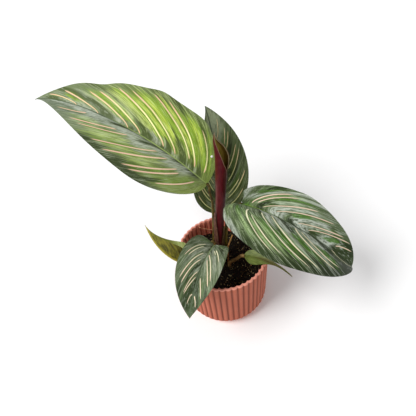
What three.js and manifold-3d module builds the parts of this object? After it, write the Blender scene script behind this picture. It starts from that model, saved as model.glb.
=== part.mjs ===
// A potted calathea: six leaves, a new leaf still rolled up, and a fluted pot filled with soil.
// Millimetres, +Z up. The origin is the middle of the pot's flat base, and the plant is seen from -Y.

import * as THREE from "three";
import { mergeVertices } from "three/addons/utils/BufferGeometryUtils.js";
import Module from "manifold-3d";

const wasm = await Module();
wasm.setup();

// ---------- Driving dimensions ----------

const GAP = 0.3;              // clearance between pieces that touch

const POT_HEIGHT = 53;
const RIM_RADIUS = 31;        // middle of the wall, at the rim
const SHOULDER_RADIUS = 29.2; // middle of the wall, where the rounded lower edge starts
const SHOULDER_HEIGHT = 8.8;
const BASE_RADIUS = 21.5;     // flat face that the pot stands on
const WALL = 1.8;
const FLOOR = 2.4;
const FLUTES = 48;
const STEPS_PER_FLUTE = 4;
const FLUTE_DEPTH = 0.45;     // how far a rib stands out, and a groove in, from the middle
const FLUTE_SHARPNESS = 0.7;  // under 1: wide round ribs and narrow grooves
const GROOVE_ANGLE = -1.76;   // direction of one groove, radians

const SOIL_LEVEL = 38;
const SOIL_LUMP = 0.9;        // height of the lumps on its surface
const SOIL_RINGS = 7;
const SOIL_SIDES = 44;
const HOLE_SIDES = 12;
const ROOT_DEPTH = 5;         // how deep stalks stand in the soil

const BLADE_THICKNESS = 0.7;
const STALK_END = 0.5;        // a stalk stops this far behind the base of its blade
const STALK_LEAD = 1.8;       // and is in line with the midrib from here on
const SHEATH_THICKNESS = 0.8;

// Leaves. Angles are in degrees: heading is the compass direction of the midrib, measured from +X
// towards +Y; rise is its slope at the base; turn and droop are how much both change on the way to
// the tip, and bend says where (below 1 near the base, above 1 near the tip). roll lifts the left
// half, and twist adds to it towards the tip; tail draws the tip out into a narrow tongue. Each half
// has its own width; shoulder and taper are the exponents that round its base and narrow its tip;
// lobe is how far its base reaches back; fold is its slope away from the midrib, which curl adds to
// at the margin; waves is how many waves its margin has, wave their height and phase where they
// start; swells are single rises and dips of its margin, each with its place along the midrib, its
// spread and its height. A stalk is given by the points it passes between the soil and the blade.
const LEAVES = [
  {
    name: "left_large",
    base: [-4.4, 16.8, 104],
    length: 143.5, heading: 154.3, turn: -13.3, rise: 45.7, droop: 68, bend: 1.2, roll: -7.3, twist: 1.7,
    tail: 0,
    left: {
      width: 32.4, shoulder: 0.62, taper: 1.54, lobe: -2,
      fold: 18.8, curl: -14.7, wave: 0.5, waves: 3.1, phase: 0,
    },
    right: {
      width: 31.3, shoulder: 0.47, taper: 1.22, lobe: 1,
      fold: 22.9, curl: -3.6, wave: 0, waves: 0, phase: 0,
      swells: [[0.17, 0.06, 2.5], [0.38, 0.05, 2.4], [0.64, 0.06, -5.5], [0.77, 0.06, 2.2]],
    },
    rows: 34, color: 0x8fae5a,
    stalk: {
      radius: 1.0, root: [-5.2, 5.2],
      path: [
        [-5, 5.8, 50], [-4.3, 6.4, 63], [-3.3, 9, 75], [-2.6, 10.8, 86], [-2.4, 12.4, 93], [-3.4, 14.4, 99],
      ],
    },
  },
  {
    name: "back",
    base: [1.6, 23.5, 66],
    length: 79, heading: 77, turn: 23, rise: 59, droop: 35, bend: 1.2, roll: 4, twist: 2, tail: 0,
    left: {
      width: 18, shoulder: 0.5, taper: 1.39, lobe: 0,
      fold: 12, curl: 0, wave: 0.3, waves: 2.3, phase: 0,
    },
    right: {
      width: 22, shoulder: 0.6, taper: 0.96, lobe: 2,
      fold: 12, curl: 0, wave: 0.7, waves: 2.3, phase: -0.4,
    },
    rows: 16, color: 0x5f7b4d,
    stalk: { radius: 1.1, root: [-1.4, 6.2], path: [[-1.2, 7.2, 46], [-0.2, 13.5, 56]] },
  },
  {
    name: "right",
    base: [16, 7.9, 90],
    length: 88, heading: -33, turn: 12, rise: 26, droop: 73, bend: 0.41, roll: -18, twist: 26, tail: 0,
    left: {
      width: 24.5, shoulder: 0.58, taper: 0.62, lobe: 18,
      fold: 20, curl: -8, wave: 1.8, waves: 1.2, phase: -0.16,
    },
    right: {
      width: 38.5, shoulder: 0.29, taper: 0.67, lobe: 5,
      fold: 36, curl: -61, wave: 1.3, waves: 1.6, phase: 0.3,
    },
    rows: 20, color: 0x7f9468,
    stalk: {
      radius: 1.2, root: [3.4, 3.4],
      path: [[3.5, 4, 50], [3.6, 4.4, 56], [4.5, 5.4, 67], [6, 6.6, 76], [9.6, 7.6, 84]],
    },
  },
  {
    name: "front",
    base: [-4.8, -0.6, 62],
    length: 58, heading: -119, turn: 7, rise: 23, droop: 82, bend: 1.2, roll: -7, twist: -1, tail: 0,
    left: {
      width: 14, shoulder: 0.74, taper: 1.16, lobe: 8,
      fold: 14, curl: 1, wave: 0.4, waves: 2.3, phase: 0.2,
    },
    right: {
      width: 16.5, shoulder: 0.7, taper: 1.1, lobe: 9,
      fold: 16, curl: 0, wave: 0.6, waves: 2.3, phase: -0.3,
    },
    rows: 16, color: 0x4b5f3d,
    stalk: { radius: 0.8, root: [-7.4, 1.2], path: [[-7.6, 1.6, 48], [-7.2, 2.8, 57], [-6, 2.4, 62.4]] },
  },
  {
    name: "small_left",
    base: [-15.6, -7.3, 54],
    length: 56, heading: 210, turn: -93, rise: 8, droop: -63, bend: 0.49, roll: 37, twist: 5, tail: 0,
    left: {
      width: 10, shoulder: 1.3, taper: 1.5, lobe: 0,
      fold: 79, curl: 0, wave: 0, waves: 0, phase: 0,
    },
    right: {
      width: 13.2, shoulder: 0.66, taper: 1.5, lobe: 0,
      fold: 72, curl: 0, wave: 0, waves: 0, phase: 0,
    },
    rows: 14, color: 0x7a7a2c,
    stalk: { radius: 0.8, root: [-6.8, -3.6], path: [[-7.2, -3.8, 45], [-10.4, -5.4, 51.6]] },
  },
  {
    name: "small_right",
    base: [14.4, -6.9, 53],
    length: 37.5, heading: -24, turn: -27, rise: 17, droop: 37, bend: 1.2, roll: 21, twist: -2, tail: 1.6,
    left: {
      width: 4.5, shoulder: 0.92, taper: 4.7, lobe: 0,
      fold: 19, curl: 0, wave: 0, waves: 0, phase: 0,
    },
    right: {
      width: 5.6, shoulder: 1.38, taper: 4.9, lobe: 0,
      fold: 13, curl: 0, wave: 0, waves: 0, phase: 0,
    },
    rows: 14, color: 0x74813f,
    stalk: { radius: 1.3, root: [4.1, -2.9], path: [[4.4, -3, 41.5], [9, -4.6, 47.2]] },
  },
];

// The rolled new leaf: places on its axis with its radius there and the direction, in degrees, in
// which the free edge of its outer turn lies; opening is how far that edge has come loose.
const SHOOT = [
  { at: [-2, 0, 33], radius: 2.3, edge: 10, opening: 0.3 },
  { at: [-2, 0.2, 44], radius: 2.4, edge: 10, opening: 0.3 },
  { at: [-1, 3.2, 60], radius: 2.6, edge: 10, opening: 0.3 },
  { at: [0.7, 6.4, 80], radius: 2.9, edge: 5, opening: 0.4 },
  { at: [3.2, 10, 100], radius: 3.2, edge: 0, opening: 0.5 },
  { at: [4.6, 12.4, 114], radius: 3.5, edge: 0, opening: 0.8 },
  { at: [5.6, 13.8, 122], radius: 3.5, edge: -10, opening: 1.2 },
  { at: [6.2, 14.4, 128], radius: 3.2, edge: -15, opening: 2.0 },
  { at: [5.8, 14.8, 134], radius: 2.4, edge: -30, opening: 2.2 },
  { at: [4.4, 15.4, 140], radius: 1.2, edge: -60, opening: 0.8 },
  { at: [4.3, 15.6, 144.5], radius: 0.5, edge: -90, opening: 0.1 },
];
const SHOOT_SIDES = 20;

// Sheaths clasp the lower half of the shoot: the direction of their middle and how far round they
// reach at the foot, in degrees, and how high above the soil their tips are.
const SHEATHS = [
  { name: "sheath_left", middle: 212, spread: 120, height: 50, color: 0x6b4a2a },
  { name: "sheath_right", middle: -30, spread: 110, height: 37, color: 0x5d5a2c },
];
const SHEATH_TIP = 0.12;      // width of a sheath's tip as a share of its foot
const SHEATH_SIDES = 10;
const SHEATH_ROWS = 12;

const DRY_STALK = {
  radius: 0.6, root: [3.6, 0.2],
  path: [[3.7, 0.4, 46], [3.9, 0.8, 53], [6, 1.5, 60]],
  end: [8.3, 2.4, 66.2],
};

// ---------- Helpers ----------

const radians = THREE.MathUtils.degToRad;
const lerp = THREE.MathUtils.lerp;
const smooth = THREE.MathUtils.smoothstep;

// Keeps only positions, joins equal vertices and drops triangles that have no area.
function closed(geometry) {
  const bare = geometry.clone();
  for (const name of Object.keys(bare.attributes)) {
    if (name !== "position") bare.deleteAttribute(name);
  }
  const merged = mergeVertices(bare, 1e-4);
  const index = merged.index.array;
  const kept = [];
  for (let i = 0; i < index.length; i += 3) {
    const [a, b, c] = [index[i], index[i + 1], index[i + 2]];
    if (a !== b && b !== c && c !== a) kept.push(a, b, c);
  }
  merged.setIndex(kept);
  return merged;
}

function toManifold(geometry) {
  const body = closed(geometry);
  return new wasm.Manifold(new wasm.Mesh({
    numProp: 3,
    vertProperties: new Float32Array(body.attributes.position.array),
    triVerts: new Uint32Array(body.index.array),
  }));
}

function fromManifold(solid) {
  const mesh = solid.getMesh();
  const geometry = new THREE.BufferGeometry();
  geometry.setAttribute("position", new THREE.BufferAttribute(new Float32Array(mesh.vertProperties), 3));
  geometry.setIndex(Array.from(mesh.triVerts));
  return geometry;
}

function piece(name, geometry, color, roughness) {
  const material = new THREE.MeshStandardMaterial({ color, roughness, metalness: 0 });
  const mesh = new THREE.Mesh(closed(geometry), material);
  mesh.geometry.computeVertexNormals();
  mesh.name = name;
  return mesh;
}

// Triangles between rings of points that all run the same way round.
function wallsBetween(rings) {
  const sides = rings[0].length;
  const index = [];
  for (let row = 0; row < rings.length - 1; row++) {
    for (let side = 0; side < sides; side++) {
      const a = row * sides + side;
      const b = row * sides + ((side + 1) % sides);
      index.push(a, b, b + sides, a, b + sides, a + sides);
    }
  }
  return index;
}

function surface(points, index) {
  const geometry = new THREE.BufferGeometry().setFromPoints(points);
  geometry.setIndex(index);
  return geometry;
}

// A closed skin over round rings: each end is a fan about its middle.
function roundLoft(rings) {
  const points = rings.flat();
  const sides = rings[0].length;
  const index = wallsBetween(rings);
  const top = (rings.length - 1) * sides;
  const middle = (ring) => ring.reduce((sum, p) => sum.add(p), new THREE.Vector3()).divideScalar(sides);
  points.push(middle(rings[0]), middle(rings[rings.length - 1]));
  for (let side = 0; side < sides; side++) {
    const next = (side + 1) % sides;
    index.push(points.length - 2, next, side);
    index.push(points.length - 1, top + side, top + next);
  }
  return surface(points, index);
}

// A closed skin over rings that are thin strips: each end is filled from edge to edge.
function stripLoft(rings) {
  const points = rings.flat();
  const sides = rings[0].length;
  const index = wallsBetween(rings);
  const top = (rings.length - 1) * sides;
  for (let side = 0; side < sides / 2 - 1; side++) {
    const [a, b, c, d] = [side, side + 1, sides - 2 - side, sides - 1 - side];
    index.push(a, c, b, a, d, c);
    index.push(top + a, top + b, top + c, top + a, top + c, top + d);
  }
  return surface(points, index);
}

// ---------- Pot ----------

// Middle of the pot's wall at a height above the rounded lower edge.
function wallRadius(z) {
  return lerp(SHOULDER_RADIUS, RIM_RADIUS, (z - SHOULDER_HEIGHT) / (POT_HEIGHT - SHOULDER_HEIGHT));
}

// -1 in a groove and 1 on a rib.
function flute(angle) {
  return 2 * Math.abs(Math.sin((angle - GROOVE_ANGLE) * FLUTES / 2)) ** FLUTE_SHARPNESS - 1;
}

// A quarter of an ellipse from a flat floor up to the wall.
function lowerEdge(floorRadius, floorZ, wallR, wallZ, steps) {
  const points = [];
  for (let i = 0; i <= steps; i++) {
    const a = (Math.PI / 2) * (i / steps);
    const radius = lerp(floorRadius, wallR, Math.sin(a));
    points.push(new THREE.Vector2(radius, lerp(wallZ, floorZ, Math.cos(a))));
  }
  return points;
}

function pot() {
  const half = WALL / 2;
  const lip = POT_HEIGHT - half;
  const profile = [
    new THREE.Vector2(0, 0),
    ...lowerEdge(BASE_RADIUS, 0, SHOULDER_RADIUS + half, SHOULDER_HEIGHT, 4),
    new THREE.Vector2(wallRadius(lip) + half, lip),
    new THREE.Vector2(RIM_RADIUS, POT_HEIGHT),
    new THREE.Vector2(wallRadius(lip) - half, lip),
    ...lowerEdge(BASE_RADIUS - half, FLOOR, SHOULDER_RADIUS - half, SHOULDER_HEIGHT, 3).reverse(),
    new THREE.Vector2(0, FLOOR),
  ];
  const geometry = new THREE.LatheGeometry(profile, FLUTES * STEPS_PER_FLUTE, GROOVE_ANGLE + Math.PI / 2);
  geometry.rotateX(Math.PI / 2);
  const position = geometry.attributes.position;
  const point = new THREE.Vector3();
  for (let i = 0; i < position.count; i++) {
    point.fromBufferAttribute(position, i);
    const radius = Math.hypot(point.x, point.y);
    if (radius < BASE_RADIUS - WALL) continue;
    const fade = smooth(point.z, FLOOR, SHOULDER_HEIGHT);
    const fluted = radius + FLUTE_DEPTH * fade * flute(Math.atan2(point.y, point.x));
    position.setXY(i, point.x * fluted / radius, point.y * fluted / radius);
  }
  return piece("pot", geometry, 0xb67460, 0.75);
}

// ---------- Soil ----------

// Repeatable scatter between -1 and 1 from a place.
function scatter(x, y) {
  const value = Math.sin(x * 12.9898 + y * 78.233) * 43758.5453;
  return 2 * (value - Math.floor(value)) - 1;
}

function soil() {
  const clear = WALL / 2 + FLUTE_DEPTH + GAP;
  const edge = wallRadius(SOIL_LEVEL) - clear;
  const top = [];
  for (let i = 0; i <= SOIL_RINGS; i++) top.push(new THREE.Vector2(edge * (1 - i / SOIL_RINGS), SOIL_LEVEL));
  const profile = [
    new THREE.Vector2(0, FLOOR + GAP),
    ...lowerEdge(BASE_RADIUS - clear, FLOOR + GAP, SHOULDER_RADIUS - clear, SHOULDER_HEIGHT, 3),
    ...top,
  ];
  const geometry = new THREE.LatheGeometry(profile, SOIL_SIDES);
  geometry.rotateX(Math.PI / 2);
  const position = geometry.attributes.position;
  for (let i = 0; i < position.count; i++) {
    const [x, y, z] = [position.getX(i), position.getY(i), position.getZ(i)];
    if (z < SOIL_LEVEL - 1) continue;
    position.setZ(i, SOIL_LEVEL + SOIL_LUMP * scatter(Math.round(10 * x), Math.round(10 * y)));
  }
  const holes = LEAVES.map(({ stalk }) => ({ at: stalk.root, radius: stalk.radius }));
  holes.push({ at: DRY_STALK.root, radius: DRY_STALK.radius });
  const [shootX, shootY, shootRadius] = shootAt(SOIL_LEVEL);
  holes.push({ at: [shootX, shootY], radius: shootRadius + GAP + SHEATH_THICKNESS });
  let body = toManifold(geometry);
  for (const { at, radius } of holes) body = body.subtract(toManifold(hole(at, radius + GAP)));
  return piece("soil", fromManifold(body), 0x1c150e, 1);
}

// A round plug from just under a stalk's foot to above the soil.
function hole([x, y], radius) {
  const bottom = SOIL_LEVEL - ROOT_DEPTH - GAP;
  const depth = SOIL_LEVEL + 2 * SOIL_LUMP - bottom;
  const corner = radius / Math.cos(Math.PI / HOLE_SIDES);
  const plug = new THREE.CylinderGeometry(corner, corner, depth, HOLE_SIDES);
  plug.rotateX(Math.PI / 2);
  plug.translate(x, y, bottom + depth / 2);
  return plug;
}

// ---------- Leaves ----------

const MIDRIB_STEPS = 60;
const LOBE_END = 0.35;        // the share of a margin that its base lobe takes up

// Places along a leaf's midrib, each with its forward, left and upward directions.
function midrib(leaf) {
  const stations = [];
  const place = new THREE.Vector3(...leaf.base);
  const step = leaf.length / MIDRIB_STEPS;
  let previous = null;
  for (let i = 0; i <= MIDRIB_STEPS; i++) {
    const s = i / MIDRIB_STEPS;
    const pitch = radians(leaf.rise - leaf.droop * s ** leaf.bend);
    const heading = radians(leaf.heading + leaf.turn * s);
    const level = Math.cos(pitch);
    const forward = new THREE.Vector3(level * Math.cos(heading), level * Math.sin(heading), Math.sin(pitch));
    const left = new THREE.Vector3(-Math.sin(heading), Math.cos(heading), 0);
    left.applyAxisAngle(forward, radians(leaf.roll + leaf.twist * s));
    const up = new THREE.Vector3().crossVectors(forward, left);
    if (previous) place.addScaledVector(previous, step / 2).addScaledVector(forward, step / 2);
    stations.push({ place: place.clone(), forward, left, up });
    previous = forward;
  }
  return stations;
}

// Bends a place on the flat leaf (x along the midrib, y to its left) into space.
function bent(leaf, stations, x, y) {
  const s = THREE.MathUtils.clamp(x / leaf.length, 0, 1);
  const i = Math.min(Math.floor(s * MIDRIB_STEPS), MIDRIB_STEPS - 1);
  const [from, to] = [stations[i], stations[i + 1]];
  const f = s * MIDRIB_STEPS - i;
  const side = y < 0 ? leaf.right : leaf.left;
  const out = Math.abs(y) / side.width;
  const slope = radians(side.fold + side.curl * out / 2);
  let wave = side.wave * Math.sin(2 * Math.PI * (side.waves * s + side.phase));
  for (const [at, spread, height] of side.swells ?? []) {
    wave += height * Math.exp(-(((s - at) / spread) ** 2));
  }
  const lift = Math.abs(y) * Math.sin(slope) + wave * out * out;
  const point = from.place.clone().lerp(to.place, f);
  point.addScaledVector(from.forward.clone().lerp(to.forward, f), x - s * leaf.length);
  point.addScaledVector(from.left.clone().lerp(to.left, f), y * Math.cos(slope));
  point.addScaledVector(from.up.clone().lerp(to.up, f), lift);
  return point;
}

// A leaf's margin on the flat: how far along it lies and how far out, for t from base to tip.
function margin(leaf, side, t) {
  const widest = side.shoulder / (side.shoulder + side.taper);
  const peak = widest ** side.shoulder * (1 - widest) ** side.taper;
  const tongue = leaf.tail * t * Math.sqrt(1 - t);
  const out = side.width * (t ** side.shoulder) * ((1 - t) ** side.taper) / peak + tongue;
  const back = side.lobe * Math.sin(Math.PI * Math.min(t / LOBE_END, 1));
  return { along: leaf.length * t - back, out };
}

// The side veins leave the midrib low down and sweep forward to the margin.
const VEIN_SWEEP = 3.3;
const VEIN_CURVE = 1.4;

// A place on the blade: t from base to tip on the margin, u from -1 right to 1 left.
function onBlade(leaf, stations, t, u) {
  const side = margin(leaf, u < 0 ? leaf.right : leaf.left, t);
  const start = leaf.length * t ** VEIN_SWEEP;
  const x = lerp(start, side.along, Math.abs(u) ** VEIN_CURVE);
  return bent(leaf, stations, x, u * side.out);
}

// Normals are measured between places this far on either side, and not nearer than the margin
// given to the blade's ends, where the rows meet in one point, or to its edges.
const NORMAL_STEP = 0.02;
const NORMAL_END = 0.03;
const NORMAL_EDGE = 0.05;

function bladeNormal(leaf, stations, t, u) {
  const inside = THREE.MathUtils.clamp(t, NORMAL_END, 1 - NORMAL_END);
  const across = THREE.MathUtils.clamp(u, NORMAL_EDGE - 1, 1 - NORMAL_EDGE);
  const at = (a, b) => onBlade(leaf, stations, a, b);
  const along = at(inside + NORMAL_STEP, across).sub(at(inside - NORMAL_STEP, across));
  const sideways = at(inside, across + NORMAL_STEP).sub(at(inside, across - NORMAL_STEP));
  return along.cross(sideways).normalize();
}

const HALF_COLUMNS = 4;

// The blade has rows of points from base to tip on both faces, with triangles alike on both.
function blade(leaf) {
  const stations = midrib(leaf);
  const columns = 2 * HALF_COLUMNS;
  const points = [];
  for (const face of [1, -1]) {
    for (let row = 0; row <= leaf.rows; row++) {
      const t = (1 - Math.cos(Math.PI * row / leaf.rows)) / 2;
      for (let column = 0; column <= columns; column++) {
        const u = column / HALF_COLUMNS - 1;
        let normal = bladeNormal(leaf, stations, t, u);
        if (row === 0) normal = stations[0].up;
        if (row === leaf.rows) normal = stations[MIDRIB_STEPS].up;
        points.push(onBlade(leaf, stations, t, u).addScaledVector(normal, face * BLADE_THICKNESS / 2));
      }
    }
  }
  const below = (leaf.rows + 1) * (columns + 1);
  const index = [];
  const at = (row, column) => row * (columns + 1) + column;
  for (let row = 0; row < leaf.rows; row++) {
    for (let column = 0; column < columns; column++) {
      const [a, b] = [at(row, column), at(row + 1, column)];
      const [c, d] = [b + 1, a + 1];
      index.push(a, b, c, a, c, d);
      index.push(below + a, below + c, below + b, below + a, below + d, below + c);
    }
    for (const [column, first, second] of [[0, 0, 1], [columns, 1, 0]]) {
      const a = at(row + first, column);
      const b = at(row + second, column);
      index.push(a, below + a, below + b, a, below + b, b);
    }
  }
  return piece(`blade_${leaf.name}`, surface(points, index), leaf.color, 0.5);
}

// ---------- Stalks ----------

const ROD_SIDES = 8;
const ROD_STEP = 3;           // length of a rod's pieces

// A rod that starts upright in the soil, passes the points given and stops at the end.
function rod(name, radius, [x, y], path, end, color) {
  const points = [[x, y, SOIL_LEVEL - ROOT_DEPTH], [x, y, SOIL_LEVEL + 1], ...path, end];
  const curve = new THREE.CatmullRomCurve3(points.map((p) => new THREE.Vector3(...p)), false, "centripetal");
  const section = new THREE.Shape();
  section.absarc(0, 0, radius, 0, 2 * Math.PI);
  const steps = Math.round(curve.getLength() / ROD_STEP);
  const options = { steps, curveSegments: ROD_SIDES, extrudePath: curve };
  const geometry = new THREE.ExtrudeGeometry(section, options);
  return piece(name, geometry, color, 0.6);
}

function stalk(leaf) {
  const [start] = midrib(leaf);
  const behind = (distance) => start.place.clone().addScaledVector(start.forward, -distance).toArray();
  const path = [...leaf.stalk.path, behind(STALK_LEAD)];
  return rod(`stalk_${leaf.name}`, leaf.stalk.radius, leaf.stalk.root, path, behind(STALK_END), 0x5a4a28);
}

// ---------- New leaf and sheaths ----------

function newShoot() {
  const rings = SHOOT.map(({ at, radius, edge, opening }) => {
    const ring = [];
    for (let side = 0; side < SHOOT_SIDES; side++) {
      const turn = side / (SHOOT_SIDES - 1);
      const angle = radians(edge) + 2 * Math.PI * turn * (1 - 0.5 / SHOOT_SIDES);
      const reach = radius + opening * (turn ** 3);
      ring.push(new THREE.Vector3(at[0] + reach * Math.cos(angle), at[1] + reach * Math.sin(angle), at[2]));
    }
    return ring;
  });
  return piece("new_shoot", roundLoft(rings), 0x45191b, 0.35);
}

function sheath({ name, middle, spread, height, color }) {
  const rings = [];
  for (let row = 0; row <= SHEATH_ROWS; row++) {
    const s = row / SHEATH_ROWS;
    const z = SOIL_LEVEL - ROOT_DEPTH + (ROOT_DEPTH + height) * s;
    const share = lerp(1, SHEATH_TIP, s * s);
    const [cx, cy, shootRadius] = shootAt(z);
    const inner = shootRadius + GAP;
    const ring = [];
    for (const [radius, direction] of [[inner, -1], [inner + SHEATH_THICKNESS, 1]]) {
      for (let side = 0; side <= SHEATH_SIDES; side++) {
        const across = direction * (side / SHEATH_SIDES - 0.5);
        const angle = radians(middle + spread * share * across);
        ring.push(new THREE.Vector3(cx + radius * Math.cos(angle), cy + radius * Math.sin(angle), z));
      }
    }
    rings.push(ring);
  }
  return piece(name, stripLoft(rings), color, 0.7);
}

// Where the shoot's axis is at a height, and how far the shoot reaches from it there.
function shootAt(z) {
  const next = Math.max(SHOOT.findIndex(({ at }) => at[2] >= z), 1);
  const [from, to] = [SHOOT[next - 1], SHOOT[next]];
  const f = (z - from.at[2]) / (to.at[2] - from.at[2]);
  const reach = lerp(from.radius + from.opening, to.radius + to.opening, f);
  return [lerp(from.at[0], to.at[0], f), lerp(from.at[1], to.at[1], f), reach];
}

// ---------- The whole plant ----------

const plant = new THREE.Group();
plant.add(pot(), soil());
for (const leaf of LEAVES) plant.add(blade(leaf), stalk(leaf));
plant.add(newShoot());
for (const clasp of SHEATHS) plant.add(sheath(clasp));
plant.add(rod("dry_stalk", DRY_STALK.radius, DRY_STALK.root, DRY_STALK.path, DRY_STALK.end, 0x8a5a35));

export default plant;
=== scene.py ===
"""A potted calathea: six leaves, a new leaf still rolled up, and a fluted pot filled with soil.

Lengths are in millimetres and become metres when a mesh is made. +Z is up, the origin is the middle
of the pot's flat base, and the plant is seen from -Y and above.
"""

import math
from types import SimpleNamespace

import bmesh
import bpy
import numpy as np
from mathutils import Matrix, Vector, noise


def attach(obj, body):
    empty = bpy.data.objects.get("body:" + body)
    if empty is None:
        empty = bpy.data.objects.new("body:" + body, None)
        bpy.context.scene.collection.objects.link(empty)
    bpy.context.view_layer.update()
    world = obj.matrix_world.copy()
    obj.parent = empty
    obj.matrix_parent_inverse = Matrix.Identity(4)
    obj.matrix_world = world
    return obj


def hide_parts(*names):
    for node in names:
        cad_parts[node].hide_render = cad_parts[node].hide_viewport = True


MM = 0.001
TURN = 2 * math.pi

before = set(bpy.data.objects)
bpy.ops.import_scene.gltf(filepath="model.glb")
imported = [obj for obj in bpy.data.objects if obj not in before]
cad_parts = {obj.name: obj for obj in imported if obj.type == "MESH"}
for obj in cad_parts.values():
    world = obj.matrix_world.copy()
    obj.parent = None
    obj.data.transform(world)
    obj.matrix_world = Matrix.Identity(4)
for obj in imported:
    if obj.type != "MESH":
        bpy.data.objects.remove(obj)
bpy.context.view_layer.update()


# ---------- Camera, light and floor ----------

CAMERA_PLACE = (-5.7, -186.8, 310.7)
CAMERA_PITCH = 48.44          # degrees below the horizon
CAMERA_ROLL = -7.9
FOCAL_PIXELS = 450.0          # focal length in pixels of the frame
FRAME_PIXELS = 416.0
SENSOR = 36.0
WHITE_GAIN = 1.25             # how much light falls on a level surface, 1 being just white
PALEST = 0.95                 # no surface gives back more light than this
SKY_STRENGTH = 0.56
LIGHT_AIM = (0, 0, 60)


def set_camera():
    """A pinhole camera at the photograph's place; its axes are columns of the object's matrix."""
    pitch, roll = math.radians(CAMERA_PITCH), math.radians(CAMERA_ROLL)
    forward = Vector((0, math.cos(pitch), -math.sin(pitch)))
    level_up = Vector((0, math.sin(pitch), math.cos(pitch)))
    level_right = Vector((1, 0, 0))
    right = math.cos(roll) * level_right + math.sin(roll) * level_up
    up = math.cos(roll) * level_up - math.sin(roll) * level_right
    data = bpy.data.cameras.new("camera")
    data.sensor_width = SENSOR
    data.lens = FOCAL_PIXELS / FRAME_PIXELS * SENSOR
    data.clip_start = 0.01
    camera = bpy.data.objects.new("camera", data)
    matrix = camera.matrix_world.to_3x3()
    for row in range(3):
        matrix[row] = (right[row], up[row], -forward[row])
    camera.matrix_world = matrix.to_4x4()
    camera.location = Vector(CAMERA_PLACE) * MM
    bpy.context.scene.collection.objects.link(camera)
    bpy.context.scene.camera = camera


def area_light(name, place, size, power):
    """A round soft light; its size is in metres and its power in watts."""
    data = bpy.data.lights.new(name, "AREA")
    data.shape = "DISK"
    data.size = size
    data.energy = power
    light = bpy.data.objects.new(name, data)
    light.location = Vector(place) * MM
    direction = Vector(LIGHT_AIM) * MM - light.location
    light.rotation_euler = direction.to_track_quat("-Z", "Y").to_euler()
    bpy.context.scene.collection.objects.link(light)


def set_light():
    scene = bpy.context.scene
    scene.view_settings.view_transform = "Standard"
    world = bpy.data.worlds.new("studio")
    scene.world = world
    world.use_nodes = True
    back = world.node_tree.nodes["Background"]
    back.inputs["Color"].default_value = (1, 1, 1, 1)
    back.inputs["Strength"].default_value = SKY_STRENGTH
    area_light("key", (-2500, -900, 3200), 2.2, 158.0)
    area_light("fill", (2100, -2100, 1500), 2.7, 4.0)


# ---------- Shader helpers ----------

def tint(red, green, blue, gain=WHITE_GAIN):
    """A colour as it looks in this scene's light, 0 to 255, as a surface colour."""
    values = []
    for value in (red, green, blue):
        share = value / 255
        linear = share / 12.92 if share <= 0.04045 else ((share + 0.055) / 1.055) ** 2.4
        values.append(min(linear / gain, PALEST))
    return (*values, 1.0)


def add(tree, kind, sockets=None, **settings):
    """A new node with its settings made and its sockets linked or set."""
    node = tree.nodes.new(kind)
    for name, value in settings.items():
        setattr(node, name, value)
    for name, value in (sockets or {}).items():
        if isinstance(value, bpy.types.NodeSocket):
            tree.links.new(value, node.inputs[name])
        else:
            node.inputs[name].default_value = value
    return node


def calc(tree, operation, first, second=0.0, third=0.0):
    return add(tree, "ShaderNodeMath", {0: first, 1: second, 2: third}, operation=operation).outputs[0]


def times(tree, first, second):
    return calc(tree, "MULTIPLY", first, second)


def minus(tree, first, second):
    return calc(tree, "SUBTRACT", first, second)


def mix(tree, share, first, second):
    """From the first colour to the second."""
    return add(tree, "ShaderNodeMix", {0: share, 6: first, 7: second}, data_type="RGBA").outputs[2]


def blend(tree, share, first, second):
    """From the first number to the second."""
    return add(tree, "ShaderNodeMix", {0: share, 2: first, 3: second}, data_type="FLOAT").outputs[0]


def rise(tree, value, low, high, start=0.0, end=1.0):
    """Smoothly from start to end while value goes from low to high."""
    sockets = {0: value, 1: low, 2: high, 3: start, 4: end}
    return add(tree, "ShaderNodeMapRange", sockets, interpolation_type="SMOOTHSTEP").outputs[0]


def painted(tree, color, *layers):
    """The colour with layers over it. A layer's strength goes smoothly from start to end while its
    value goes from low to high."""
    for value, low, high, start, end, tone in layers:
        color = mix(tree, rise(tree, value, low, high, start, end), color, tone)
    return color


def grain(tree, vector, scale, detail=3.0, roughness=0.55):
    sockets = {"Vector": vector, "Scale": scale, "Detail": detail, "Roughness": roughness}
    return add(tree, "ShaderNodeTexNoise", sockets).outputs[0]


def vector(tree, x, y, z):
    return add(tree, "ShaderNodeCombineXYZ", {0: x, 1: y, 2: z}).outputs[0]


def parts(tree, value):
    return add(tree, "ShaderNodeSeparateXYZ", {0: value}).outputs


def attribute(tree, name, output):
    return add(tree, "ShaderNodeAttribute", attribute_name=name).outputs[output]


def object_place(tree):
    """Place on the object in millimetres."""
    place = add(tree, "ShaderNodeTexCoord").outputs["Object"]
    return add(tree, "ShaderNodeVectorMath", {0: place, "Scale": 1 / MM}, operation="SCALE").outputs[0]


def new_group(name, inputs, outputs):
    """A shader group, with vectors (None) and numbers as inputs and numbers as outputs."""
    tree = bpy.data.node_groups.new(name, "ShaderNodeTree")
    for socket, value in inputs.items():
        kind = "NodeSocketVector" if value is None else "NodeSocketFloat"
        item = tree.interface.new_socket(socket, in_out="INPUT", socket_type=kind)
        if value is not None:
            item.default_value = value
    for socket in outputs:
        tree.interface.new_socket(socket, in_out="OUTPUT", socket_type="NodeSocketFloat")
    start = tree.nodes.new("NodeGroupInput").outputs
    end = tree.nodes.new("NodeGroupOutput").inputs
    return tree, start, end


def use(tree, group, **sockets):
    """Places a shader group with its inputs set and returns its outputs."""
    return add(tree, "ShaderNodeGroup", sockets, node_tree=group).outputs


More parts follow.
